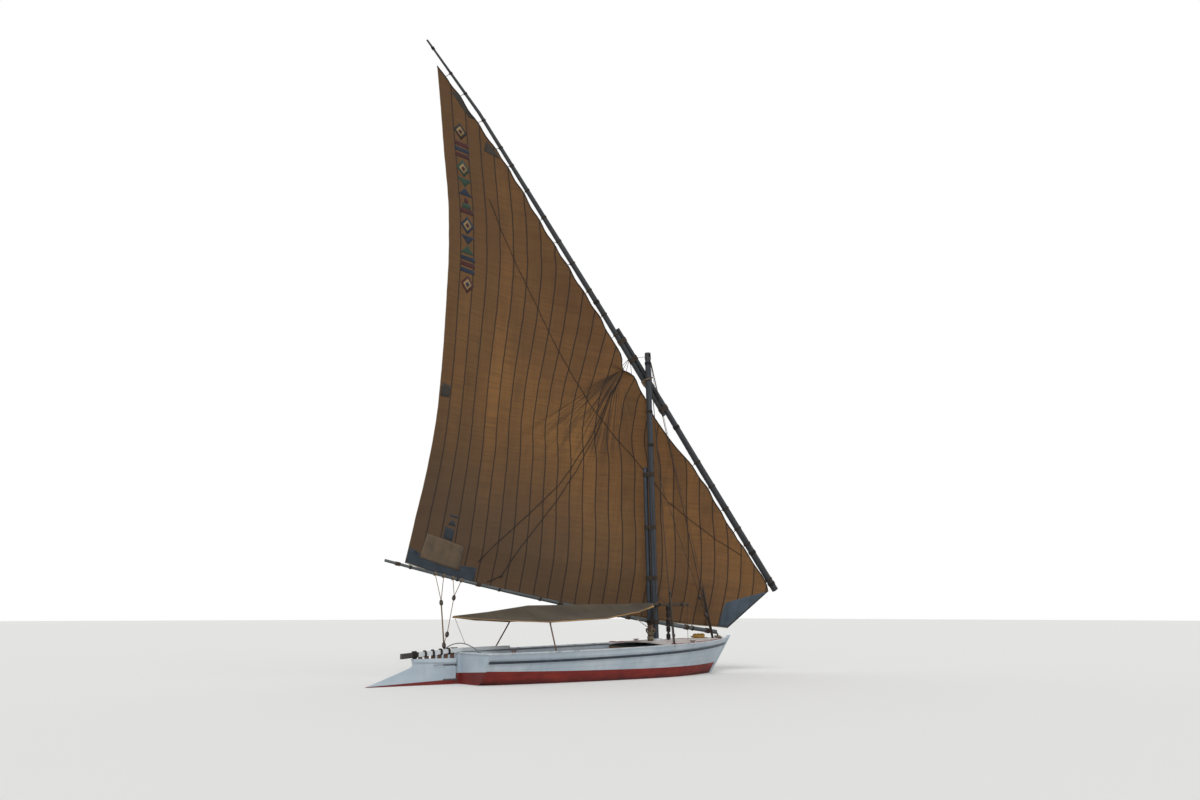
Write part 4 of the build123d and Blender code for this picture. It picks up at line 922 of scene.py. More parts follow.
def plate(outline, lift):
    """Closed chunk over both faces of the cloth, with its corners given as places."""
    corners = [(min(u, luff_at(v) - LUFF_MARGIN), v) for u, v in outline]
    edge = []
    for (u0, v0), (u1, v1) in zip(corners, corners[1:] + corners[:1]):
        count = max(1, round(math.hypot(u1 - u0, v1 - v0) / PLATE_STEP))
        edge += [(u0 + (u1 - u0) * i / count, v0 + (v1 - v0) * i / count) for i in range(count)]
    u_mid, v_mid = (sum(p[axis] for p in edge) / len(edge) for axis in (0, 1))
    rings = max(1, round(max(math.hypot(u - u_mid, v - v_mid) for u, v in edge) / PLATE_STEP))
    places = [(u_mid, v_mid)] + [(u_mid + (u - u_mid) * r / rings, v_mid + (v - v_mid) * r / rings)
                                 for r in range(1, rings + 1) for u, v in edge]
    size, count = len(places), len(edge)
    verts = [cloth_point(u, v, side * lift) for side in (1, -1) for u, v in places]
    front = [(0, 1 + i, 1 + (i + 1) % count) for i in range(count)]
    for ring in range(rings - 1):
        a, b = 1 + ring * count, 1 + (ring + 1) * count
        front += [(a + i, b + i, b + (i + 1) % count, a + (i + 1) % count) for i in range(count)]
    faces = front + [tuple(size + i for i in reversed(face)) for face in front]
    last = size - count
    faces += [(last + (i + 1) % count, last + i, size + last + i, size + last + (i + 1) % count)
              for i in range(count)]
    return verts, faces, [tuple(places[i % size] for i in face) for face in faces]


# Places are (metres from the leech, metres up it). EDGE stands for the luff.
EDGE = 99.0
PATCHES = (
    ("corner_patches", doubled, (((0.01, 0.02), (0.01, 0.52), (0.78, 0.31), (2.43, 0.37), (2.43, 0.02)),)),
    ("tack_patch", slate_cloth, (((11.68, 0.01), (11.73, 0.48), (12.85, 0.72), (EDGE, 0.80), (EDGE, 0.40),
                                  (EDGE, 0.01)),)),
    ("mended_patches", mended, (((1.56, 14.95), (1.66, 15.34), (1.74, 15.30), (2.14, 14.84)),
                                ((0.05, 5.64), (0.05, 6.12), (0.41, 6.06), (0.38, 5.66)),
                                ((0.42, 16.70), (EDGE, 16.70), (EDGE, 16.00), (1.10, 16.00)))),
    ("spare_marks", dark_mark, (((1.06, 1.34), (1.41, 1.28), (1.39, 0.90), (1.06, 0.97)),
                                ((1.12, 1.42), (1.42, 1.37), (1.29, 1.60)),
                                ((1.14, 1.76), (1.44, 1.71), (1.43, 1.64), (1.14, 1.69)))),
    ("newer_patch", faint, (((0.49, 1.05), (1.83, 0.80), (1.87, 0.22), (0.43, 0.29)),)),
)
PATCH_LIFTS = {"newer_patch": 0.0065}  # this one is sewn over the corner's
HEMMED = ("newer_patch", "mended_patches")
HEM_TWINE = 0.0035  # radius
sail_pieces, hems = [], []
for name, finish, outlines in PATCHES:
    lift = PATCH_LIFTS.get(name, PLATE_LIFT)
    sail_pieces.append(piece(name, [plate(outline, lift) for outline in outlines], finish, "rig"))
    if name in HEMMED:
        hems += [tube(over_cloth([*outline, outline[0]], side * lift), HEM_TWINE, 5)
                 for outline in outlines for side in (-1, 1)]
sail_pieces.append(piece("patch_hems", hems, twine, "rig"))
print(sum(len(outlines) for _, _, outlines in PATCHES), "patches sewn on")

# %% [markdown]
# The ornament is laid out by a short table of motifs, each about half a metre wide and two thirds of a metre tall,
# stacked down a line beside the leech. It could be drawn shape by shape, but four kinds of motif in changing dyes
# make all of it. The outer shapes lie lowest and the centres over them, so two that overlap never share a level.

# %% Ornament strip
STRIP_LINE = ((9.45, 0.79), (12.8, 0.705), (15.7, 0.705))  # metres up the leech, distance from it
STRIP_HALF = 0.27  # half the width of a motif
MOTIF_FILL = 0.47  # half the height of a motif, as a share of the pitch
LEVEL_STEP = 0.0015  # height of one level over the one below
MOTIFS = ("lozenge", "bars", "hourglass", "lozenge", "steps", "hourglass", "lozenge", "bars", "lozenge")
MOTIF_DYES = ((red_dye, navy_dye), (navy_dye, red_dye), (green_dye, navy_dye), (navy_dye, red_dye),
              (red_dye, green_dye), (navy_dye, green_dye), (green_dye, red_dye), (red_dye, navy_dye),
              (outline_dye, red_dye))


def motif(kind, across, up, half, tall):
    """Shapes of one motif: (level, which dye, outline)."""
    def slab(low, wide, thick):
        left, right = across - half * wide, across + half * wide
        bottom, top = up + tall * (low - thick), up + tall * (low + thick)
        return ((left, bottom), (left, top), (right, top), (right, bottom))

    if kind == "lozenge":
        def lozenge(size):
            return ((across - half * size, up), (across, up + tall * size), (across + half * size, up),
                    (across, up - tall * size))
        return ((1, 0, lozenge(1.0)), (2, 2, lozenge(0.62)), (3, 1, lozenge(0.30)))
    if kind == "bars":
        return tuple((1, k % 2, slab(low, 1.0, 0.24)) for k, low in enumerate((-0.66, 0.0, 0.66)))
    if kind == "hourglass":
        return tuple((1, side > 0, ((across - half, up + side * tall * 0.98), (across, up + side * tall * 0.04),
                                    (across + half, up + side * tall * 0.98))) for side in (-1, 1))
    steps = ((-0.6, 0.95), (0.0, 0.6), (0.6, 0.28))
    return tuple((1, k % 2, slab(low, wide, 0.28)) for k, (low, wide) in enumerate(steps))


shapes = {}
pitch = (STRIP_LINE[-1][0] - STRIP_LINE[0][0]) / len(MOTIFS)
for number, (kind, dyes) in enumerate(zip(MOTIFS, MOTIF_DYES)):
    up = STRIP_LINE[0][0] + pitch * (number + 0.5)
    across = float(np.interp(up, *zip(*STRIP_LINE)))
    for level, dye, outline in motif(kind, across, up, STRIP_HALF, pitch * MOTIF_FILL):
        shapes.setdefault((*dyes, pale_dye)[dye], []).append(plate(outline, PLATE_LIFT + LEVEL_STEP * level))
for finish, chunks in shapes.items():
    sail_pieces.append(piece("ornament_" + finish.name.split("_")[0], chunks, finish, "rig"))
print(sum(len(chunks) for chunks in shapes.values()), "shapes in the ornament")

# %% [markdown]
# ## Edges and lines of the sail
# Every edge of the sail is sewn to a bolt rope. The luff's is tarred and the foot's is bare. Two brailing lines run
# from the notch down over the cloth's windward face, one of them to a knot, and a long line follows the cloth from
# its upper half towards the tack. The solid sail has none of this, because a line that lies on cloth is set by the
# cloth. Each is a tube whose points are places on the sail, so it keeps to the surface and is sewn on with it.

# %% Bolt ropes and brails
LINE_OFF = -0.014  # windward of the cloth
LINE_STEP = 0.3
LUFF_ROPE, LEECH_ROPE, FOOT_ROPE = 0.021, 0.010, 0.013  # radii
LONG_LINE_ROPE, BRAIL_ROPE, NOTCH_ROPE = 0.010, 0.012, 0.010
KNOT_ROPE = [0.014, 0.030, 0.036, 0.030, 0.014]  # radii along the knot
NOTCH_CORNERS = (tuple(NOTCH_PLACE), (1.43, 0.52, 10.57), (1.28, 0.56, 10.77), (1.64, 0.44, 10.36))
LONG_LINE = ((1.60, 13.14), (2.03, 12.02), (2.55, 11.11), (3.50, 9.71), (4.83, 7.69), (5.72, 6.38), (6.66, 5.14),
             (7.82, 3.92), (8.97, 2.87), (9.89, 2.43), (10.98, 1.96), (12.04, 1.60))
BRAILS = (((6.61, 7.56), (5.76, 4.92), (5.19, 3.65), (4.88, 3.13), (2.42, 0.50)),
          ((6.61, 7.52), (6.19, 5.88), (5.44, 3.65), (4.93, 2.72), (3.31, 0.30), (2.87, 0.10)))
EDGE_EVERY = 2  # an edge rope follows every second row

luff_edge, leech_edge = SAIL_GRID[::EDGE_EVERY, 0], SAIL_GRID[::EDGE_EVERY, -1]
head_edge, foot_edge = SAIL_GRID[-1, ::4], SAIL_GRID[0, ::4]
for name, edges, radius, finish in (("luff_rope", (luff_edge,), LUFF_ROPE, rope_black),
                                    ("leech_and_head_rope", (leech_edge, head_edge), LEECH_ROPE, rope_tan),
                                    ("foot_rope", (foot_edge,), FOOT_ROPE, rope_white)):
    sail_pieces.append(piece(name, [tube(edge, radius, 6) for edge in edges], finish, "rig"))
brails = [tube(over_cloth(LONG_LINE, LINE_OFF, LINE_STEP), LONG_LINE_ROPE, 5)]
for places in BRAILS:
    brails.append(tube([NOTCH_PLACE, *over_cloth(places, LINE_OFF, LINE_STEP)], BRAIL_ROPE, 6))
knot = [cloth_point(3.31 + 0.05 * k, 0.30 + 0.035 * k, LINE_OFF * 1.4) for k in (-1, -0.5, 0, 0.5, 1)]
brails.append(tube(knot, KNOT_ROPE, 8))
notch_yard = on_yard(0.43)[0]
for corner in NOTCH_CORNERS:
    brails.append(tube([Vector(corner), notch_yard], NOTCH_ROPE, 5))
piece("brails", brails, rope_black, "rig")
print(len(brails), "lines on the sail")

# %% [markdown]
# ## Turns of rope, studs and boards
# Three small node groups make what repeats. One winds a rope round every point of a mesh, along that point's own
# axis. One sets a domed stud on every point. One sets a board on every point. Loops could build each copy, but a
# group holds the form once and takes only a list of places. Each result is turned into a plain mesh, so nothing live
# is left on a piece.

# %% Node groups for what repeats
def new_group(name, *inputs):
    """Geometry node group with named inputs (name, kind): returns it with its input sockets."""
    tree = bpy.data.node_groups.new(name, "GeometryNodeTree")
    for label, kind in (("Points", "Geometry"), *inputs, ("Finish", "Material")):
        tree.interface.new_socket(label, in_out="INPUT", socket_type="NodeSocket" + kind)
    tree.interface.new_socket("Piece", in_out="OUTPUT", socket_type="NodeSocketGeometry")
    return tree, add(tree, "NodeGroupInput").outputs


def set_on_points(tree, given, form):
    """Sets a form on every point, turned to the attribute axis and sized by the attribute reach."""
    axis = add(tree, "GeometryNodeInputNamedAttribute", {"Name": "axis"}, data_type="FLOAT_VECTOR").outputs[0]
    reach = add(tree, "GeometryNodeInputNamedAttribute", {"Name": "reach"}, data_type="FLOAT_VECTOR").outputs[0]
    turn = add(tree, "FunctionNodeAlignRotationToVector", {"Vector": axis}, axis="Z").outputs[0]
    return add(tree, "GeometryNodeInstanceOnPoints",
               {"Points": given["Points"], "Instance": form, "Rotation": turn, "Scale": reach}).outputs[0]


def close_group(tree, given, form):
    """Ends a group: real geometry with its finish."""
    real = add(tree, "GeometryNodeRealizeInstances", {0: form}).outputs[0]
    smooth = add(tree, "GeometryNodeSetShadeSmooth", {0: real}).outputs[0]
    done = add(tree, "GeometryNodeSetMaterial", {"Geometry": smooth, "Material": given["Finish"]}).outputs[0]
    add(tree, "NodeGroupOutput", {0: done})
    return tree


def rope_turns():
    """Rope wound round each point."""
    tree, given = new_group("rope_turns", ("Turns", "Float"), ("Rope radius", "Float"))
    coil = add(tree, "GeometryNodeCurveSpiral", {"Resolution": 14, "Rotations": given["Turns"], "Start Radius": 1.0,
                                                 "End Radius": 1.0, "Height": 1.0}).outputs[0]
    centred = add(tree, "GeometryNodeTransform", {"Geometry": coil, "Translation": (0, 0, -0.5)}).outputs[0]
    lines = add(tree, "GeometryNodeRealizeInstances", {0: set_on_points(tree, given, centred)}).outputs[0]
    ring = add(tree, "GeometryNodeCurvePrimitiveCircle", {"Resolution": 6, "Radius": given["Rope radius"]}).outputs[0]
    rope = add(tree, "GeometryNodeCurveToMesh", {"Curve": lines, "Profile Curve": ring, "Fill Caps": True}).outputs[0]
    return close_group(tree, given, rope)


def domed_studs():
    """Low dome on each point."""
    tree, given = new_group("domed_studs")
    dome = add(tree, "GeometryNodeMeshUVSphere", {"Segments": 8, "Rings": 5, "Radius": 1.0}).outputs[0]
    return close_group(tree, given, set_on_points(tree, given, dome))


def laid_boards():
    """Board on each point."""
    tree, given = new_group("laid_boards")
    board = add(tree, "GeometryNodeMeshCube", {"Size": (1, 1, 1)}).outputs[0]
    return close_group(tree, given, set_on_points(tree, given, board))


ROPE_TURNS, DOMED_STUDS, LAID_BOARDS = rope_turns(), domed_studs(), laid_boards()


def grown(name, group, spots, finish, body, slot, **inputs):
    """Piece that a node group grows from spots: (point, axis, reach). inputs sets its named inputs."""
    mesh = bpy.data.meshes.new(name + "_spots")
    mesh.from_pydata([tuple(point) for point, _, _ in spots], [], [])
    for key, column in (("axis", 1), ("reach", 2)):
        layer = mesh.attributes.new(key, "FLOAT_VECTOR", "POINT")
        layer.data.foreach_set("vector", [c for spot in spots for c in spot[column]])
    holder = bpy.data.objects.new(name + "_spots", mesh)
    bpy.context.scene.collection.objects.link(holder)
    modifier = holder.modifiers.new("grow", "NODES")
    modifier.node_group = group
    values = {"Finish": finish, **{key.replace("_", " "): value for key, value in inputs.items()}}
    for socket in group.interface.items_tree:
        if socket.in_out == "INPUT" and socket.name in values:
            modifier[socket.identifier] = values[socket.name]
    result = bpy.data.meshes.new_from_object(holder.evaluated_get(bpy.context.evaluated_depsgraph_get()))
    bpy.data.objects.remove(holder)
    if volume([v.co.copy() for v in result.vertices], [tuple(p.vertices) for p in result.polygons]) < 0:
        result.flip_normals()
    result.name = name
    return settle(bpy.data.objects.new(name, result), body)


print("node groups", ROPE_TURNS.name, DOMED_STUDS.name, LAID_BOARDS.name)

# %% [markdown]
# ## Ties of the sail
# At each tie a thin rope goes four times round the spar and through an eyelet in the sail's edge. The solid ties are
# plain bars. Their turns could be drawn in a material, but they stand proud of the spar and show in its outline, so
# the node group winds them, and two short tubes make the legs to each eyelet.

# %% Luff and foot ties
TIE_ROPE = 0.009
TIE_TURNS = 4.0
TIE_SPAN = 0.07  # length of spar that the turns cover
LEG_APART = 0.012  # each leg's distance from the middle of its tie
PAST_EDGE = 0.02  # how far a leg reaches into the cloth
EYELET_IN = 0.03  # an eyelet's distance from the cloth's edge
EYELET = (0.016, 0.016, 0.005)  # its radii, and its height off the cloth
FOOT_TIES = (0.08, 0.2, 0.32, 0.44, 0.56, 0.68, 0.8, 0.93)  # shares of the boom
LUFF_LIMITS = (LUFF_LINE[0][0], LUFF_LINE[-1][0])


def luff_point(share):
    """Point of the sail's luff at a share of the yard's line."""
    t = (share - LUFF_LIMITS[0]) / (LUFF_LIMITS[1] - LUFF_LIMITS[0])
    row = int(np.argmin([abs(place - t) for place in ROW_PLACES]))
    return Vector(SAIL_GRID[row, 0])


def foot_point(x):
    """Point of the sail's foot over a place along the boat."""
    return Vector(SAIL_GRID[0, int(np.argmin(np.abs(SAIL_GRID[0, :, 0] - x)))])


def turns_round(centre, radius, axis, span=TIE_SPAN, rope=TIE_ROPE):
    """Spot for the node group: turns just clear of a round spar."""
    return centre, axis, (radius + rope, radius + rope, span)


def legs(centre, edge, radius):
    """Two legs of a tie from a spar's face to the edge of the sail."""
    inward = (edge - centre).normalized()
    start = centre + inward * radius * 0.9
    side = inward.cross(YARD_DIR).normalized() * LEG_APART
    return [tube([start + side, edge + side * 0.3 + inward * PAST_EDGE], TIE_ROPE, 5),
            tube([start - side, edge - side * 0.3 + inward * PAST_EDGE], TIE_ROPE, 5)]


luff_spots, luff_legs, foot_spots, foot_legs, eyelets = [], [], [], [], []
for share in TIE_SHARES:
    centre, radius = on_yard(share)
    edge = luff_point(share)
    luff_spots.append(turns_round(centre, radius, YARD_DIR))
    luff_legs += legs(centre, edge, radius)
    eyelets.append((edge + (edge - centre).normalized() * EYELET_IN, LEE_DIR, EYELET))
for share in FOOT_TIES:
    centre, radius = on_boom(share)
    edge = foot_point(centre.x)
    foot_spots.append(turns_round(centre, radius, BOOM_DIR))
    foot_legs += legs(centre, edge, radius)
    eyelets.append((edge + Vector((0, 0, EYELET_IN)), LEE_DIR, EYELET))
luff_turns = grown("luff_tie_turns", ROPE_TURNS, luff_spots, twine, "rig", "rope", Turns=TIE_TURNS,
                   Rope_radius=TIE_ROPE)
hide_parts("luff_ties")
foot_turns = grown("foot_tie_turns", ROPE_TURNS, foot_spots, twine, "rig", "rope", Turns=TIE_TURNS,
                   Rope_radius=TIE_ROPE)
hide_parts("foot_ties")
piece("tie_legs", luff_legs + foot_legs, twine, "rig")
sail_pieces.append(grown("eyelets", DOMED_STUDS, eyelets, steel, "rig", "steel"))
print(len(luff_spots), "luff ties,", len(foot_spots), "foot ties")

# %% [markdown]
# ## Lashings
# Where two spars lie side by side the rope can't run in a circle. It follows the hull of both rounds, like a belt
# over two wheels, so each turn is worked out from the farthest point in every direction. A simulated rope could be
# wound on, but a belt is taut by its own form. The same belt holds the slim spar to the mast.

# %% Belts of rope
BELT_ROPE = 0.011
BELT_STEPS = 20  # points in one turn


def belt(rounds, axis, span, rope=BELT_ROPE):
    """Chunk of rope wound side by side round several spars: rounds lists (centre, radius)."""
    axis = Vector(axis).normalized()
    first = axis.orthogonal().normalized()
    second = axis.cross(first)
    turns = max(1, round(span / (2.1 * rope)))
    points = []
    for step in range(turns * BELT_STEPS + 1):
        angle = 2 * math.pi * step / BELT_STEPS
        out = first * math.cos(angle) + second * math.sin(angle)
        centre, radius = max(rounds, key=lambda item: item[0].dot(out) + item[1])
        along = span * (step / (turns * BELT_STEPS) - 0.5)
        points.append(centre + out * (radius + rope) + axis * along)
    return tube(points, rope, 6)


def both_spars(share):
    """Centre and radius of both spars of the yard."""
    return [on_spar(LOWER_SPAR, share), on_spar(UPPER_SPAR, share)]


YARD_LASHINGS, YARD_LASHING_SPAN = (0.335, 0.425, 0.458), 0.17  # shares of the yard's line, metres
yard_belts = piece("yard_belts", [belt(both_spars(share), YARD_DIR, YARD_LASHING_SPAN) for share in YARD_LASHINGS],
                   rope_dark, "rig")
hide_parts("yard_lashings")
print(len(YARD_LASHINGS), "lashings on the yard")

# %% [markdown]
# The sling holds the yard up to the mast. A ring of two turns goes loosely round the mast, and one leg joins it to a
# belt round both spars. The ring could lie level, but the rig swings about a line from the bow to this place, and a
# ring that is round about that line stays clear of the mast as it turns.

# %% Sling
SLING_PLACE = on_mast(10.3)
SWING_DIR = (SLING_PLACE - Vector((5.150, 0.0, 1.315))).normalized()
SLING_RING = 0.152
RING_TURNS, RING_STEPS = 2, 24  # turns of the ring, and points in one turn
RING_RISE = 0.034  # length of the ring along its axis
SLING_SHARE = 0.385  # share of the yard's line where the leg comes to it
sling_leg_end = sum((centre for centre, _ in both_spars(SLING_SHARE)), Vector()) / 2
ring_side = SWING_DIR.orthogonal().normalized()
ring_other = SWING_DIR.cross(ring_side)
ring_points = []
for step in range(RING_TURNS * RING_STEPS + 1):
    angle = 2 * math.pi * step / RING_STEPS
    ring_points.append(SLING_PLACE + (ring_side * math.cos(angle) + ring_other * math.sin(angle)) * SLING_RING
                       + SWING_DIR * (RING_RISE * (step / (RING_TURNS * RING_STEPS) - 0.5)))
leg_dir = (sling_leg_end - SLING_PLACE).normalized()
leg_start = SLING_PLACE + (leg_dir - SWING_DIR * leg_dir.dot(SWING_DIR)).normalized() * SLING_RING
sling_rope = piece("sling_rope", [belt(both_spars(SLING_SHARE), YARD_DIR, 0.21, 0.013), tube(ring_points, 0.016, 8),
                                  tube([leg_start, sling_leg_end], 0.022, 8)], rope_tan, "rig")
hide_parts("sling")
print("sling at", [round(v, 2) for v in SLING_PLACE])

# %% [markdown]
# Single bindings wrap the boom and the yard, where they keep gear from sliding along. Each goes in a circle round one
# spar, so it needs no belt, and the node group winds them all from two lists of places.

# %% Bindings
BINDING_ROPE = 0.010
boom_spots = [turns_round(*on_boom(share), BOOM_DIR, 0.16, BINDING_ROPE)
              for share in (0.03, 0.10, 0.16, 0.225, 0.29, 0.5, 0.74, 0.965)]
grown("boom_bindings", ROPE_TURNS, boom_spots, rope_tan, "rig", "rope", Turns=8.0, Rope_radius=BINDING_ROPE)
yard_spots = [turns_round(*on_yard(share), YARD_DIR, 0.12, BINDING_ROPE)
              for share in (0.012, 0.07, 0.30, 0.53, 0.985)]
grown("yard_bindings", ROPE_TURNS, yard_spots, rope_dark, "rig", "rope", Turns=6.0, Rope_radius=BINDING_ROPE)
print(len(boom_spots), "bindings on the boom,", len(yard_spots), "on the yard")

# %% [markdown]
# ## A slim spar beside the mast
# A second, thinner pole stands at the mast's port after side and is lashed to it in four places. Like the mast it is
# a whole tree, so it tapers. A cylinder would look turned, and a tube with a radius for every point tapers by
# itself. Three bindings wrap the mast above it.

# %% Slim spar and mast gear
PROP_TOP, PROP_FOOT = Vector((1.972, 0.150, 7.090)), Vector((2.150, 0.165, 1.060))
PROP_RADIUS = (0.080, 0.074)
MAST_RADIUS = (0.110, 0.102)  # at the step and at the head
MAST_STEP_Z, MAST_RISE = -0.33, 11.35  # height of the mast's foot, and from there to its head
MAST_DIR = (-MAST_RAKE, 0, 1)


def on_prop(z):
    """Centre and radius of the slim spar at a height."""
    part = (z - PROP_FOOT.z) / (PROP_TOP.z - PROP_FOOT.z)
    return PROP_FOOT.lerp(PROP_TOP, part), PROP_RADIUS[0] + (PROP_RADIUS[1] - PROP_RADIUS[0]) * part


def mast_round(z):
    """Centre and radius of the mast at a height."""
    return on_mast(z), MAST_RADIUS[0] + (MAST_RADIUS[1] - MAST_RADIUS[0]) * (z - MAST_STEP_Z) / MAST_RISE


prop_heights = [PROP_FOOT.z + (PROP_TOP.z - PROP_FOOT.z) * i / 12 for i in range(13)]
piece("slim_spar", [tube([on_prop(z)[0] for z in prop_heights] + [PROP_TOP + Vector((0, 0, 0.02))],
                         [on_prop(z)[1] for z in prop_heights] + [0.03], 16)], mast_slate, "root")
piece("mast_lashings", [belt([mast_round(z), on_prop(z)], MAST_DIR, 0.15) for z in (1.75, 3.25, 5.0, 6.85)],
      rope_dark, "root")
mast_spots = [turns_round(*mast_round(z), MAST_DIR, 0.10, BINDING_ROPE) for z in (7.9, 9.1, 10.86)]
grown("mast_bindings", ROPE_TURNS, mast_spots, rope_dark, "root", "rope", Turns=5.0, Rope_radius=BINDING_ROPE)
print("slim spar", round((PROP_TOP - PROP_FOOT).length, 2), "m")

# %% [markdown]
# ## The awning
# A strip of brown canvas lies over the ridge pole and the spreaders, widest aft, and narrows to a point at both
# ends. To the eye it is dull, dark and streaked fore and aft, with a band of painted sunlight, paler and golden,
# along each eave. The solid is a folded plate. This is one curved sheet, made like the sail: it dips a little between
# the ridge and the eaves, and its edge draws in between the ties.

# %% Awning sheet
AWNING_Y = -0.27
# x, half width, eave and ridge heights in metres
AWNING_STATIONS = ((-5.8, 0.07, 1.9248, 1.9718), (-4.6, 0.76, 1.8396, 2.0936), (-3.16, 1.25, 1.7788, 2.2912),
                   (-0.9, 1.13, 1.8800, 2.3322), (0.7, 0.76, 2.0800, 2.3608), (1.9, 0.11, 2.2700, 2.4016))
AWNING_ROWS, AWNING_COLUMNS = 96, 48
AWNING_DIP, AWNING_SCALLOP, AWNING_TIE_PITCH = 0.045, 0.045, 0.77
SPREADER_X = -3.1
AWNING_OFF = 0.004  # middle of the cloth above the canvas's underside
AWNING_PANEL, AWNING_LAP = 1.1, 0.02  # panels sewn end to end, and the width of their laps
LIT_EDGE_INNER, LIT_EDGE_OUTER = 0.060, 0.066  # painted band of sunlight along each eave: it ends between these distances from the eave


def awning_point(x, q):
    """Point of the awning at a place along the boat, with q from -1 at the starboard eave to 1 at the other."""
    xs, halves, eaves, ridges = zip(*AWNING_STATIONS)
    half, eave, ridge = (float(np.interp(x, xs, v)) for v in (halves, eaves, ridges))
    half -= min(AWNING_SCALLOP, 0.1 * half) * math.sin(math.pi * (x - SPREADER_X) / AWNING_TIE_PITCH) ** 2
    free = 1 - math.exp(-((x - SPREADER_X) / 0.5) ** 2)
    dip = AWNING_DIP * half * free * math.sin(math.pi * abs(q)) ** 2
    flutter = 0.010 * free * abs(q) * noise.noise(Vector((x * 1.6, q * 2.0, 3.0)))
    return Vector((x, AWNING_Y + half * q, ridge + (eave - ridge) * abs(q) - dip + flutter + AWNING_OFF))


def awning_cloth(name, pale, dark, seam_shade, lit_edge, lit_edge_dim):
    """Brown canvas with painted sunlight along each eave: U is metres from the nearer eave, V metres along."""
    material, tree, shader = new_material(name, 0.88, Sheen_Weight=0.1)
    uv = add(tree, "ShaderNodeUVMap", uv_map="UVMap").outputs[0]
    axes = add(tree, "ShaderNodeSeparateXYZ", {0: uv}).outputs
    clouds = spread(tree, stretched_noise(tree, uv, (1.1, 0.7, 1.0), 5.0), 0.35, 0.7)
    streaks = spread(tree, stretched_noise(tree, uv, (14.0, 1.0, 1.0), 3.0), 0.4, 0.8)
    body = stain(tree, mix(tree, clouds, colour(pale), colour(dark)), streaks, 0.4, dark)
    seams = seam_mask(tree, axes[1], AWNING_PANEL, AWNING_LAP)
    body = stain(tree, body, seams, 0.6, seam_shade)
    # Painted sunlight: a paler, golden band along each eave.
    lit_edge_mask = add(tree, "ShaderNodeMapRange", {0: axes[0], 1: LIT_EDGE_INNER, 2: LIT_EDGE_OUTER, 3: 1.0, 4: 0.0}).outputs[0]
    body = mix(tree, lit_edge_mask, body, mix(tree, clouds, colour(lit_edge), colour(lit_edge_dim)))
    tree.links.new(body, shader.inputs["Base Color"])
    bump(tree, shader, sums(tree, "ADD", woven(tree, axes[0], axes[1]), seams), WEAVE_DEPTH)
    return material


awning_brown = awning_cloth("brown_awning_canvas", "#4A3F2C", "#31291D", "#221C12", "#B98A4A", "#6E5430")
along_awning = np.linspace(AWNING_STATIONS[0][0], AWNING_STATIONS[-1][0], AWNING_ROWS + 1)
across_awning = np.linspace(-1, 1, AWNING_COLUMNS + 1)
awning_grid = np.array([[awning_point(x, q) for q in across_awning] for x in along_awning])
half_slopes = np.linalg.norm(awning_grid[:, 0] - awning_grid[:, AWNING_COLUMNS // 2], axis=1)
awning_uv = np.stack([half_slopes[:, None] * (1 - np.abs(across_awning))[None, :],
                      np.repeat(along_awning[:, None] + 10, AWNING_COLUMNS + 1, axis=1)], axis=-1)
awning = sheet_mesh("awning_sheet", awning_grid, awning_brown, SAIL_THICK, UVMap=awning_uv)
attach(awning, "root")
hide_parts("awning_canvas")
awning_rope = piece("awning_bolt_rope", [tube(awning_grid[:, 0], 0.008, 6), tube(awning_grid[:, -1], 0.008, 6)],
                    rope_tan, "root")

# %% [markdown]
# ## Standing and running lines
# Every line is a tube that runs straight between the things that hold it: the forestay's purchase, the shroud's
# doubled foot, the halyard and the ties of the awning. Each could be a curve that hangs, but taut rope has no sag to
# speak of, so a table of points, radius and sides is all it takes. A barrel with rounded ends stands for each block.

# %% Lines on the hull
MASTHEAD_Z = 11.10
FORESTAY_FOOT = Vector((4.790, -0.120, 1.120))
SHROUD_FOOT, SHROUD_HEAD = Vector((1.600, -1.745, 1.000)), Vector((2.022, -0.115, 10.960))
POLE_TIP = Vector((3.470, AWNING_Y, 2.371))


def barrel(centre, axis, length, radius):
    """Chunk of a wooden block or knob: a barrel with rounded ends."""
    axis = Vector(axis).normalized()
    form = ((-0.5, 0.35), (-0.42, 0.72), (-0.22, 0.96), (0.0, 1.0), (0.22, 0.96), (0.42, 0.72), (0.5, 0.35))
    return tube([Vector(centre) + axis * (length * at) for at, _ in form], [radius * r for _, r in form], 12)


upper_block, lower_block = Vector((4.154, -0.200, 2.621)), Vector((4.425, -0.200, 1.996))
halyard_block = on_mast(2.35, -0.10, -0.20)
bitt_top = Vector((1.836, -0.230, 1.560))
stay_tackle = Vector((4.330, -0.190, 2.958))
BLOCK_AXIS = (0.4, 0, -0.9)
fall = Vector((0.03, 0, 0))  # from the middle of the forestay's purchase to each of its parts
lead = Vector((0, 0.025, 0))  # from the middle of the halyard's purchase to each of its parts
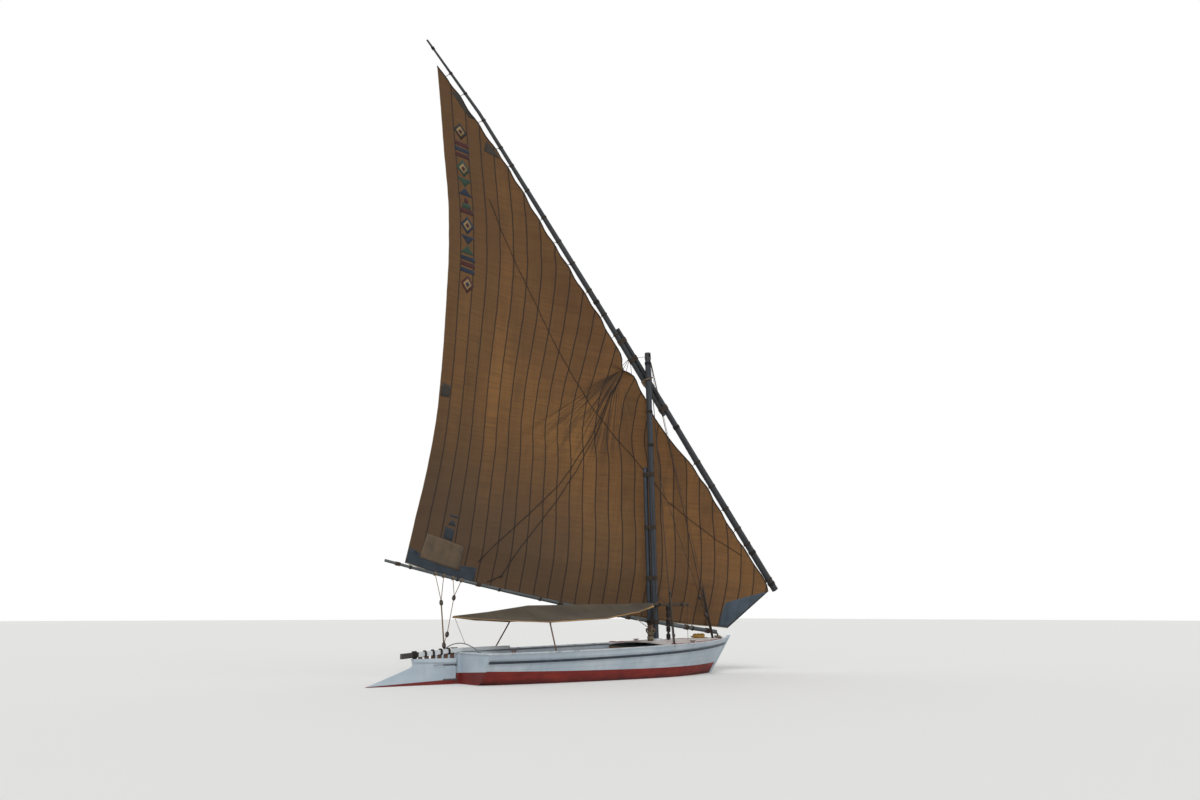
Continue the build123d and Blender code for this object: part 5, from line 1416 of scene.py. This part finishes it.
# Points, radius and sides of each line
HULL_LINES = (
    ((on_mast(10.9, 0.09, -0.07), stay_tackle), 0.007, 5),
    ((stay_tackle, FORESTAY_FOOT + Vector((0.02, -0.03, 0))), 0.026, 6),
    ((Vector((4.360, -0.100, 2.958)), FORESTAY_FOOT), 0.026, 6),
    ((upper_block, Vector((4.380, -0.170, 2.80))), 0.012, 6),
    ((on_mast(7.352, 0.02, -0.11), upper_block), 0.010, 5),
    ((upper_block + fall, lower_block + fall), 0.010, 5),
    ((upper_block - fall, lower_block - fall), 0.010, 5),
    ((lower_block, FORESTAY_FOOT + Vector((-0.04, -0.04, 0.02))), 0.009, 5),
    ((SHROUD_FOOT, SHROUD_FOOT.lerp(SHROUD_HEAD, 0.17)), 0.026, 8),
    ((on_mast(2.672, 0.02, -0.11), Vector((2.499, AWNING_Y, 2.390))), 0.010, 5),
    ((POLE_TIP, Vector((3.378, -0.400, 1.130))), 0.008, 5),
    ((Vector((2.640, AWNING_Y, 2.300)), Vector((4.455, -0.125, 2.310))), 0.007, 5),
    ((on_mast(MASTHEAD_Z, -0.06, -0.05), on_mast(9.0, -0.11, -0.09), halyard_block), 0.010, 6),
    ((on_mast(9.6, -0.12, -0.02), on_mast(2.2, -0.135, 0.0), bitt_top + Vector((0.04, 0.05, -0.06))), 0.014, 6),
    ((halyard_block + lead, bitt_top + Vector((0.03, 0.03, -0.1))), 0.009, 6),
    ((halyard_block - lead, bitt_top + Vector((-0.03, -0.03, -0.1))), 0.009, 6),
    ((Vector((-5.760, AWNING_Y, 1.962)), Vector((-5.370, AWNING_Y, 1.162))), 0.007, 5),
    *(((awning_point(SPREADER_X, side), Vector((SPREADER_X, AWNING_Y + side * 1.14, 1.80))), 0.008, 5)
      for side in (-1, 1)),
)
# Centre, axis, length and radius of each block or knob
LINE_BLOCKS = (
    (upper_block, BLOCK_AXIS, 0.19, 0.068), (lower_block, BLOCK_AXIS, 0.19, 0.068),
    (halyard_block, (0, 0, 1), 0.20, 0.062),
    (SHROUD_FOOT.lerp(SHROUD_HEAD, 0.035), SHROUD_HEAD - SHROUD_FOOT, 0.10, 0.050),
    (SHROUD_FOOT.lerp(SHROUD_HEAD, 0.175), SHROUD_HEAD - SHROUD_FOOT, 0.10, 0.050),
    (POLE_TIP + Vector((0.01, 0, 0)), (1, 0, 0), 0.11, 0.052),
)
fixed_lines = [tube(points, radius, sides) for points, radius, sides in HULL_LINES]
piece("fixed_lines", fixed_lines, rope_dark, "root")
piece("line_blocks", [barrel(*block) for block in LINE_BLOCKS], block_wood, "root")
print(len(fixed_lines), "lines on the hull")

# %% [markdown]
# ## The mainsheet
# Two purchases hold the boom down. Each hangs by a strop from the boom. One comes down to a block that is shackled
# to the steel arch over the stern, and the other to a block just above that one. Chains of links could follow the
# swing. Here rope and blocks are two plain pieces on no body, with their placing baked into their points.

# %% Mainsheet
SHEET_BLOCK = (0.20, 0.062)  # length and radius of a block
STROP_ROPE, SHEET_ROPE = 0.012, 0.009
STROP_HALF = 0.012  # half the width of a strop on the boom, as a share of the boom
SHEET_APART = 0.03  # distance between two parts of the sheet
IN_STROP, IN_BLOCK = 0.08, 0.04  # how far strop and sheet reach into a block


def purchase(boom_share, foot, hang, parts):
    """Strop, two blocks and the rope parts between the boom and a block over the arch: chunks of rope and of wood."""
    head = on_boom(boom_share)[0]
    down = (foot - head).normalized()
    across = down.cross(Vector((1, 0, 0))).normalized()
    top = head + down * hang
    rope = [tube([on_boom(boom_share + side * STROP_HALF)[0], top - down * IN_STROP], STROP_ROPE, 6)
            for side in (-1, 1)]
    for k in range(parts):
        shift = across * (SHEET_APART * (k - (parts - 1) / 2))
        rope.append(tube([top + down * IN_BLOCK + shift, foot - down * IN_BLOCK + shift], SHEET_ROPE, 5))
    return rope, [barrel(top, down, *SHEET_BLOCK), barrel(foot, down, *SHEET_BLOCK)], top


sheet_foot, second_foot = Vector((-5.370, 1.025, 1.090)), Vector((-5.340, 0.900, 1.420))
sheet_rope, sheet_wood, sheet_top = purchase(0.85, sheet_foot, 1.12, 3)
more_rope, more_wood, _ = purchase(0.80, second_foot, 0.90, 2)
sheet_rope += more_rope + [tube([second_foot, sheet_foot + Vector((0, 0, 0.06))], STROP_ROPE, 6)]
boom_turns = [belt([on_boom(share)], BOOM_DIR, 0.07) for share in (0.788, 0.812, 0.838, 0.862)]
sheet_ropes = piece("mainsheet_rope", sheet_rope + boom_turns, rope_tan, None)
sheet_blocks = piece("mainsheet_blocks", sheet_wood + more_wood, block_wood, None)
for made in (sheet_ropes, sheet_blocks):
    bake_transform(made)
HORSE_RING = 0.030  # radius of the shackle round the arch
horse_ring = [Vector((-5.370 + HORSE_RING * math.cos(a), 1.025, 0.966 + HORSE_RING * math.sin(a)))
              for a in (2 * math.pi * k / 12 for k in range(12))]
piece("sheet_shackle", [tube(horse_ring, 0.008, 6, closed=True),
                        tube([Vector((-5.370, 1.025, 0.994)), sheet_foot], 0.010, 6)], steel, "root")
print("mainsheet from the boom to the arch", round((sheet_foot - on_boom(0.85)[0]).length, 2), "m")

# %% [markdown]
# Three more lines join the hull to the rig: two from the masthead to the yard, and a pale rope that steadies the
# boom from the bitt beside the mast. Each sags a little. A line like these could be cut in two at the joint, but it
# would open there, so each stays one tube on no body, with its placing baked into its points.

# %% Lines between hull and rig
BRIDGES = (("masthead_line_fore", on_mast(MASTHEAD_Z, 0.08), on_spar(LOWER_SPAR, 0.362)[0], rope_dark, 0.007),
           ("masthead_line_aft", on_mast(MASTHEAD_Z, -0.08), on_spar(UPPER_SPAR, 0.432)[0], rope_dark, 0.007),
           ("boom_guy", bitt_top, on_boom(0.262)[0], rope_white, 0.012))
BRIDGE_SAG, BRIDGE_STEPS = 0.03, 10
for name, start, end, finish, radius in BRIDGES:
    made = piece(name, [tube(curve_between(start, end, BRIDGE_SAG, BRIDGE_STEPS), radius, 6)], finish, None)
    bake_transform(made)
print(len(BRIDGES), "lines between hull and rig")

# %% [markdown]
# ## Deck and cockpit
# Low toe rails, painted dark red, run forward along both gunwales from beside the mast. They could be placed by
# numbers, but rays that are cast down on the caps find their inner edges, so the rails lie on the solids as they are.

# %% Toe rails
RAY_HEIGHT, RAY_FIRST, RAY_STEP, RAYS = 4.0, 0.05, 0.01, 240  # rays start above, near the centreline
TOE_RAIL_X = (1.55, 5.0, 0.15)  # first place, limit and step along the boat


def cap_edge(x, side):
    """Inner edge of the gunwale's top at a place along the boat."""
    cap = nodes["gunwale_port" if side > 0 else "gunwale_starboard"]
    for k in range(RAYS):
        y = side * (RAY_FIRST + RAY_STEP * k)
        hit, at, _, _ = cap.ray_cast(Vector((x, y, RAY_HEIGHT)), Vector((0, 0, -1)))
        if hit:
            return Vector((x, y, at.z))
    return None


toe_rails = []
for side in (-1, 1):
    edge = [cap_edge(x, side) for x in np.arange(*TOE_RAIL_X)]
    toe_rails.append(tube([p + Vector((0, side * 0.03, 0.022)) for p in edge if p], 0.028, 8))
toe_red = trim_paint("red_toe_rail_paint", "#7A2320", "#521614")
piece("toe_rails", toe_rails, toe_red, "root")
print(len(toe_rails), "toe rails")

# %% [markdown]
# A roll of spare ochre canvas lies against the toe rail on the port side. It could be a plain cylinder, but a roll is
# tied here and there and swells between the ties, so its radius changes along it. Cloth like this gives way where
# something presses on it.

# %% Rolled cloth
ROLL_FORE, ROLL_AFT = Vector((4.80, 0.30, 1.272)), Vector((4.40, 0.50, 1.262))
# Share of the roll's length, and its radius there
ROLL_FORM = ((0.0, 0.030), (0.06, 0.068), (0.2, 0.085), (0.35, 0.074), (0.5, 0.087), (0.65, 0.074), (0.8, 0.085),
             (0.94, 0.068), (1.0, 0.030))
ochre_cloth = dyed_cloth("ochre_spare_canvas", "#B98F45", "#8D6A30")
roll_line = [ROLL_FORE.lerp(ROLL_AFT, at) for at, _ in ROLL_FORM]
roll = piece("rolled_cloth", [tube(roll_line, [radius for _, radius in ROLL_FORM], 16)], ochre_cloth, "root")
print("roll", round((ROLL_FORE - ROLL_AFT).length, 2), "m")

# %% [markdown]
# Six wooden cleats stand along the caps. Each is two short posts under a horn whose ends turn up a little. They could
# be carved from one block, but three tubes give the same form at this size.

# %% Cleats
CLEAT_HORN, CLEAT_RISE = 0.26, 0.055  # length of the horn, and its height
CLEATS = ((-4.6, -1.765), (-4.6, 1.765), (2.6, -1.50), (2.6, 1.50), (4.6, -0.70), (4.6, 0.70))
CAP_RISE = 0.04  # a cleat's foot above the sheer


def sheer_z(x):
    """Height of the sheer."""
    a, b, c = sheer_parabola()
    return a + b * x + c * x * x


def cleat(x, y, z):
    """Chunks of a wooden horn cleat that lies fore and aft."""
    horn = [Vector((x + CLEAT_HORN * at, y, z + CLEAT_RISE + lift)) for at, lift in
            ((-0.5, 0.012), (-0.25, 0.0), (0.0, -0.003), (0.25, 0.0), (0.5, 0.012))]
    feet = [tube([(x + at, y, z - 0.01), (x + at, y, z + CLEAT_RISE)], 0.016, 8) for at in (-0.045, 0.045)]
    return [tube(horn, [0.010, 0.017, 0.020, 0.017, 0.010], 8), *feet]


cleats = [chunk for x, y in CLEATS for chunk in cleat(x, y, sheer_z(x) + CAP_RISE)]
piece("cleats", cleats, upright_oiled, "root")
print(len(CLEATS), "cleats")

# %% [markdown]
# Lines are made fast with turns round both bitts, and rope binds the awning's fore post and the ridge pole near it.
# The node group winds them all from lists of places, each with an axis, two radii and a length.

# %% Turns on bitts and post
DECK_ROPE = 0.012
bitt_spots = [(Vector((1.836, -0.23, z)), (0, 0, 1), (0.105, 0.105, 0.10)) for z in (1.24, 1.40)]
bitt_spots += [(Vector((1.836, -0.23 + side * 0.13, 1.485)), (0, 1, 0), (0.072, 0.072, 0.07)) for side in (-1, 1)]
bitt_spots.append((Vector((5.150, 0.0, 1.235)), (0, 0, 1), (0.112, 0.112, 0.06)))
grown("bitt_turns", ROPE_TURNS, bitt_spots, rope_white, "root", "rope", Turns=4.0, Rope_radius=DECK_ROPE)
post_spots = [(Vector((2.6, AWNING_Y, z)), (0, 0, 1), (0.066, 0.066, 0.16)) for z in (1.28, 1.52, 1.76, 2.0, 2.2)]
post_spots += [(Vector((x, AWNING_Y, 2.25 + 0.12 * (x + 3.15) / 6.6)), (1, 0, 0), (0.048, 0.048, 0.06))
               for x in (2.2, 2.66, 3.2)]
grown("awning_post_turns", ROPE_TURNS, post_spots, rope_dark, "root", "rope", Turns=7.0, Rope_radius=DECK_ROPE)
print(len(bitt_spots), "turns on the bitts,", len(post_spots), "on post and pole")

# %% [markdown]
# The cockpit is floored with loose boards, and the benches are slatted. Both could be drawn in a material, but the
# gaps are 15 to 20 mm wide and catch shade, so each board is a real one, set by the node group. Their number is a
# guess.

# %% Boards
SOLE_TOP, BENCH_TOP = 0.230, 0.690
BOARD_THICK = 0.012
sole_spots = [(Vector((-0.9, -0.80 + 0.2 * k, SOLE_TOP + BOARD_THICK / 2)), (0, 0, 1), (4.7, 0.185, BOARD_THICK))
              for k in range(9)]
bench_spots = [(Vector((-0.9, side * (1.04 + 0.125 * k), BENCH_TOP + BOARD_THICK / 2)), (0, 0, 1),
                (4.6 - 0.12 * k, 0.105, BOARD_THICK)) for side in (-1, 1) for k in range(4)]
grown("cockpit_boards", LAID_BOARDS, sole_spots + bench_spots, inside_oiled, "root", "inside_wood")
print(len(sole_spots) + len(bench_spots), "boards")

# %% [markdown]
# ## Rudder and tiller gear
# Bolts with domed heads hold the pintle straps. A bar handle on each face of the blade lets it be lifted off its
# pins. One broad lashing holds the tiller to the rudder's head, and four narrow ones follow along it. The bolts could
# be a bump in the steel's material, but real domes catch the light from every side.

# %% Rudder gear
STRAP_Z = (-0.361, 0.139, 0.559)
strap_bolts = [(Vector((x, side * 0.0435, z)), (0, 1, 0), (0.013, 0.013, 0.008))
               for z in STRAP_Z for side in (-1, 1) for x in (-5.62, -5.72, -5.82, -5.92)]
grown("strap_bolts", DOMED_STUDS, strap_bolts, steel, "rudder", "steel")
# x, distance from the middle of the blade, and z along the bar of a handle
HANDLE = ((-6.26, 0.03, 0.55), (-6.26, 0.085, 0.56), (-6.23, 0.095, 0.565), (-5.96, 0.095, 0.565),
          (-5.93, 0.085, 0.56), (-5.93, 0.03, 0.55))
handles = [tube([Vector((x, side * y, z)) for x, y, z in HANDLE], 0.009, 8) for side in (-1, 1)]
piece("rudder_handles", handles, steel, "rudder")
TILLER_RISE = 0.093  # rise of the tiller's axis for each metre forward
tiller_spots = [(Vector((-6.890, 0.0, 0.864)), (1, 0, TILLER_RISE), (0.106, 0.106, 0.125))]
tiller_spots += [(Vector((x, 0.0, 0.828 + 0.0825 * (x + 7.32))), (1, 0, TILLER_RISE), (0.094, 0.094, 0.06))
                 for x in (-6.56, -6.30, -6.04, -5.78)]
tiller_turns = grown("tiller_turns", ROPE_TURNS, tiller_spots, rope_dark, "rudder", "rope", Turns=5.0,
                     Rope_radius=0.010)
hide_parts("tiller_lashing")
print(len(strap_bolts), "bolts on the straps")

# %% [markdown]
# ## Lights, floor and background
# Soft light comes evenly from all round and from one broad lamp. A picture of a real place could light the model, but
# even light shows each finish without tinting it. The floor lies at the waterline, plain and pale. The camera, and
# mirror-like surfaces, see a white surround instead of the grey that gives the light.

# %% Studio
SURROUND = 0.62  # strength of the light from all round
KEY_STRENGTH, KEY_SPREAD = 1.3, math.radians(25)
KEY_COURSE = Vector((0.55, 0.75, -0.9))  # the way the lamp's light goes
FLOOR_SIZE = 600.0


def studio_world():
    """Even grey surround for light, white for the camera and for reflections."""
    world = bpy.data.worlds.new("studio")
    bpy.context.scene.world = world
    world.use_nodes = True
    tree = world.node_tree
    tree.nodes.clear()
    path = add(tree, "ShaderNodeLightPath")
    seen = sums(tree, "MAXIMUM", path.outputs["Is Camera Ray"], path.outputs["Is Glossy Ray"],
                path.outputs["Is Transmission Ray"])
    light = add(tree, "ShaderNodeBackground", {0: (1, 1, 1, 1), 1: SURROUND})
    white = add(tree, "ShaderNodeBackground", {0: (1, 1, 1, 1), 1: 1.0})
    both = add(tree, "ShaderNodeMixShader", {0: seen, 1: light.outputs[0], 2: white.outputs[0]})
    add(tree, "ShaderNodeOutputWorld", {0: both.outputs[0]})


def studio_floor():
    """Plain pale floor at the waterline."""
    half = FLOOR_SIZE / 2
    mesh = bpy.data.meshes.new("floor")
    mesh.from_pydata([(-half, -half, 0), (half, -half, 0), (half, half, 0), (-half, half, 0)], [], [(0, 1, 2, 3)])
    floor = bpy.data.objects.new("floor", mesh)
    bpy.context.scene.collection.objects.link(floor)
    material, tree, shader = new_material("pale_floor", 0.9)
    shader.inputs["Base Color"].default_value = colour("#E9E9E7")
    mesh.materials.append(material)


studio_world()
studio_floor()
key = bpy.data.objects.new("key", bpy.data.lights.new("key", "SUN"))
key.data.energy, key.data.angle = KEY_STRENGTH, KEY_SPREAD
key.rotation_euler = KEY_COURSE.to_track_quat("-Z", "Y").to_euler()
bpy.context.scene.collection.objects.link(key)
bpy.context.scene.view_settings.view_transform = "Standard"
print("studio ready")
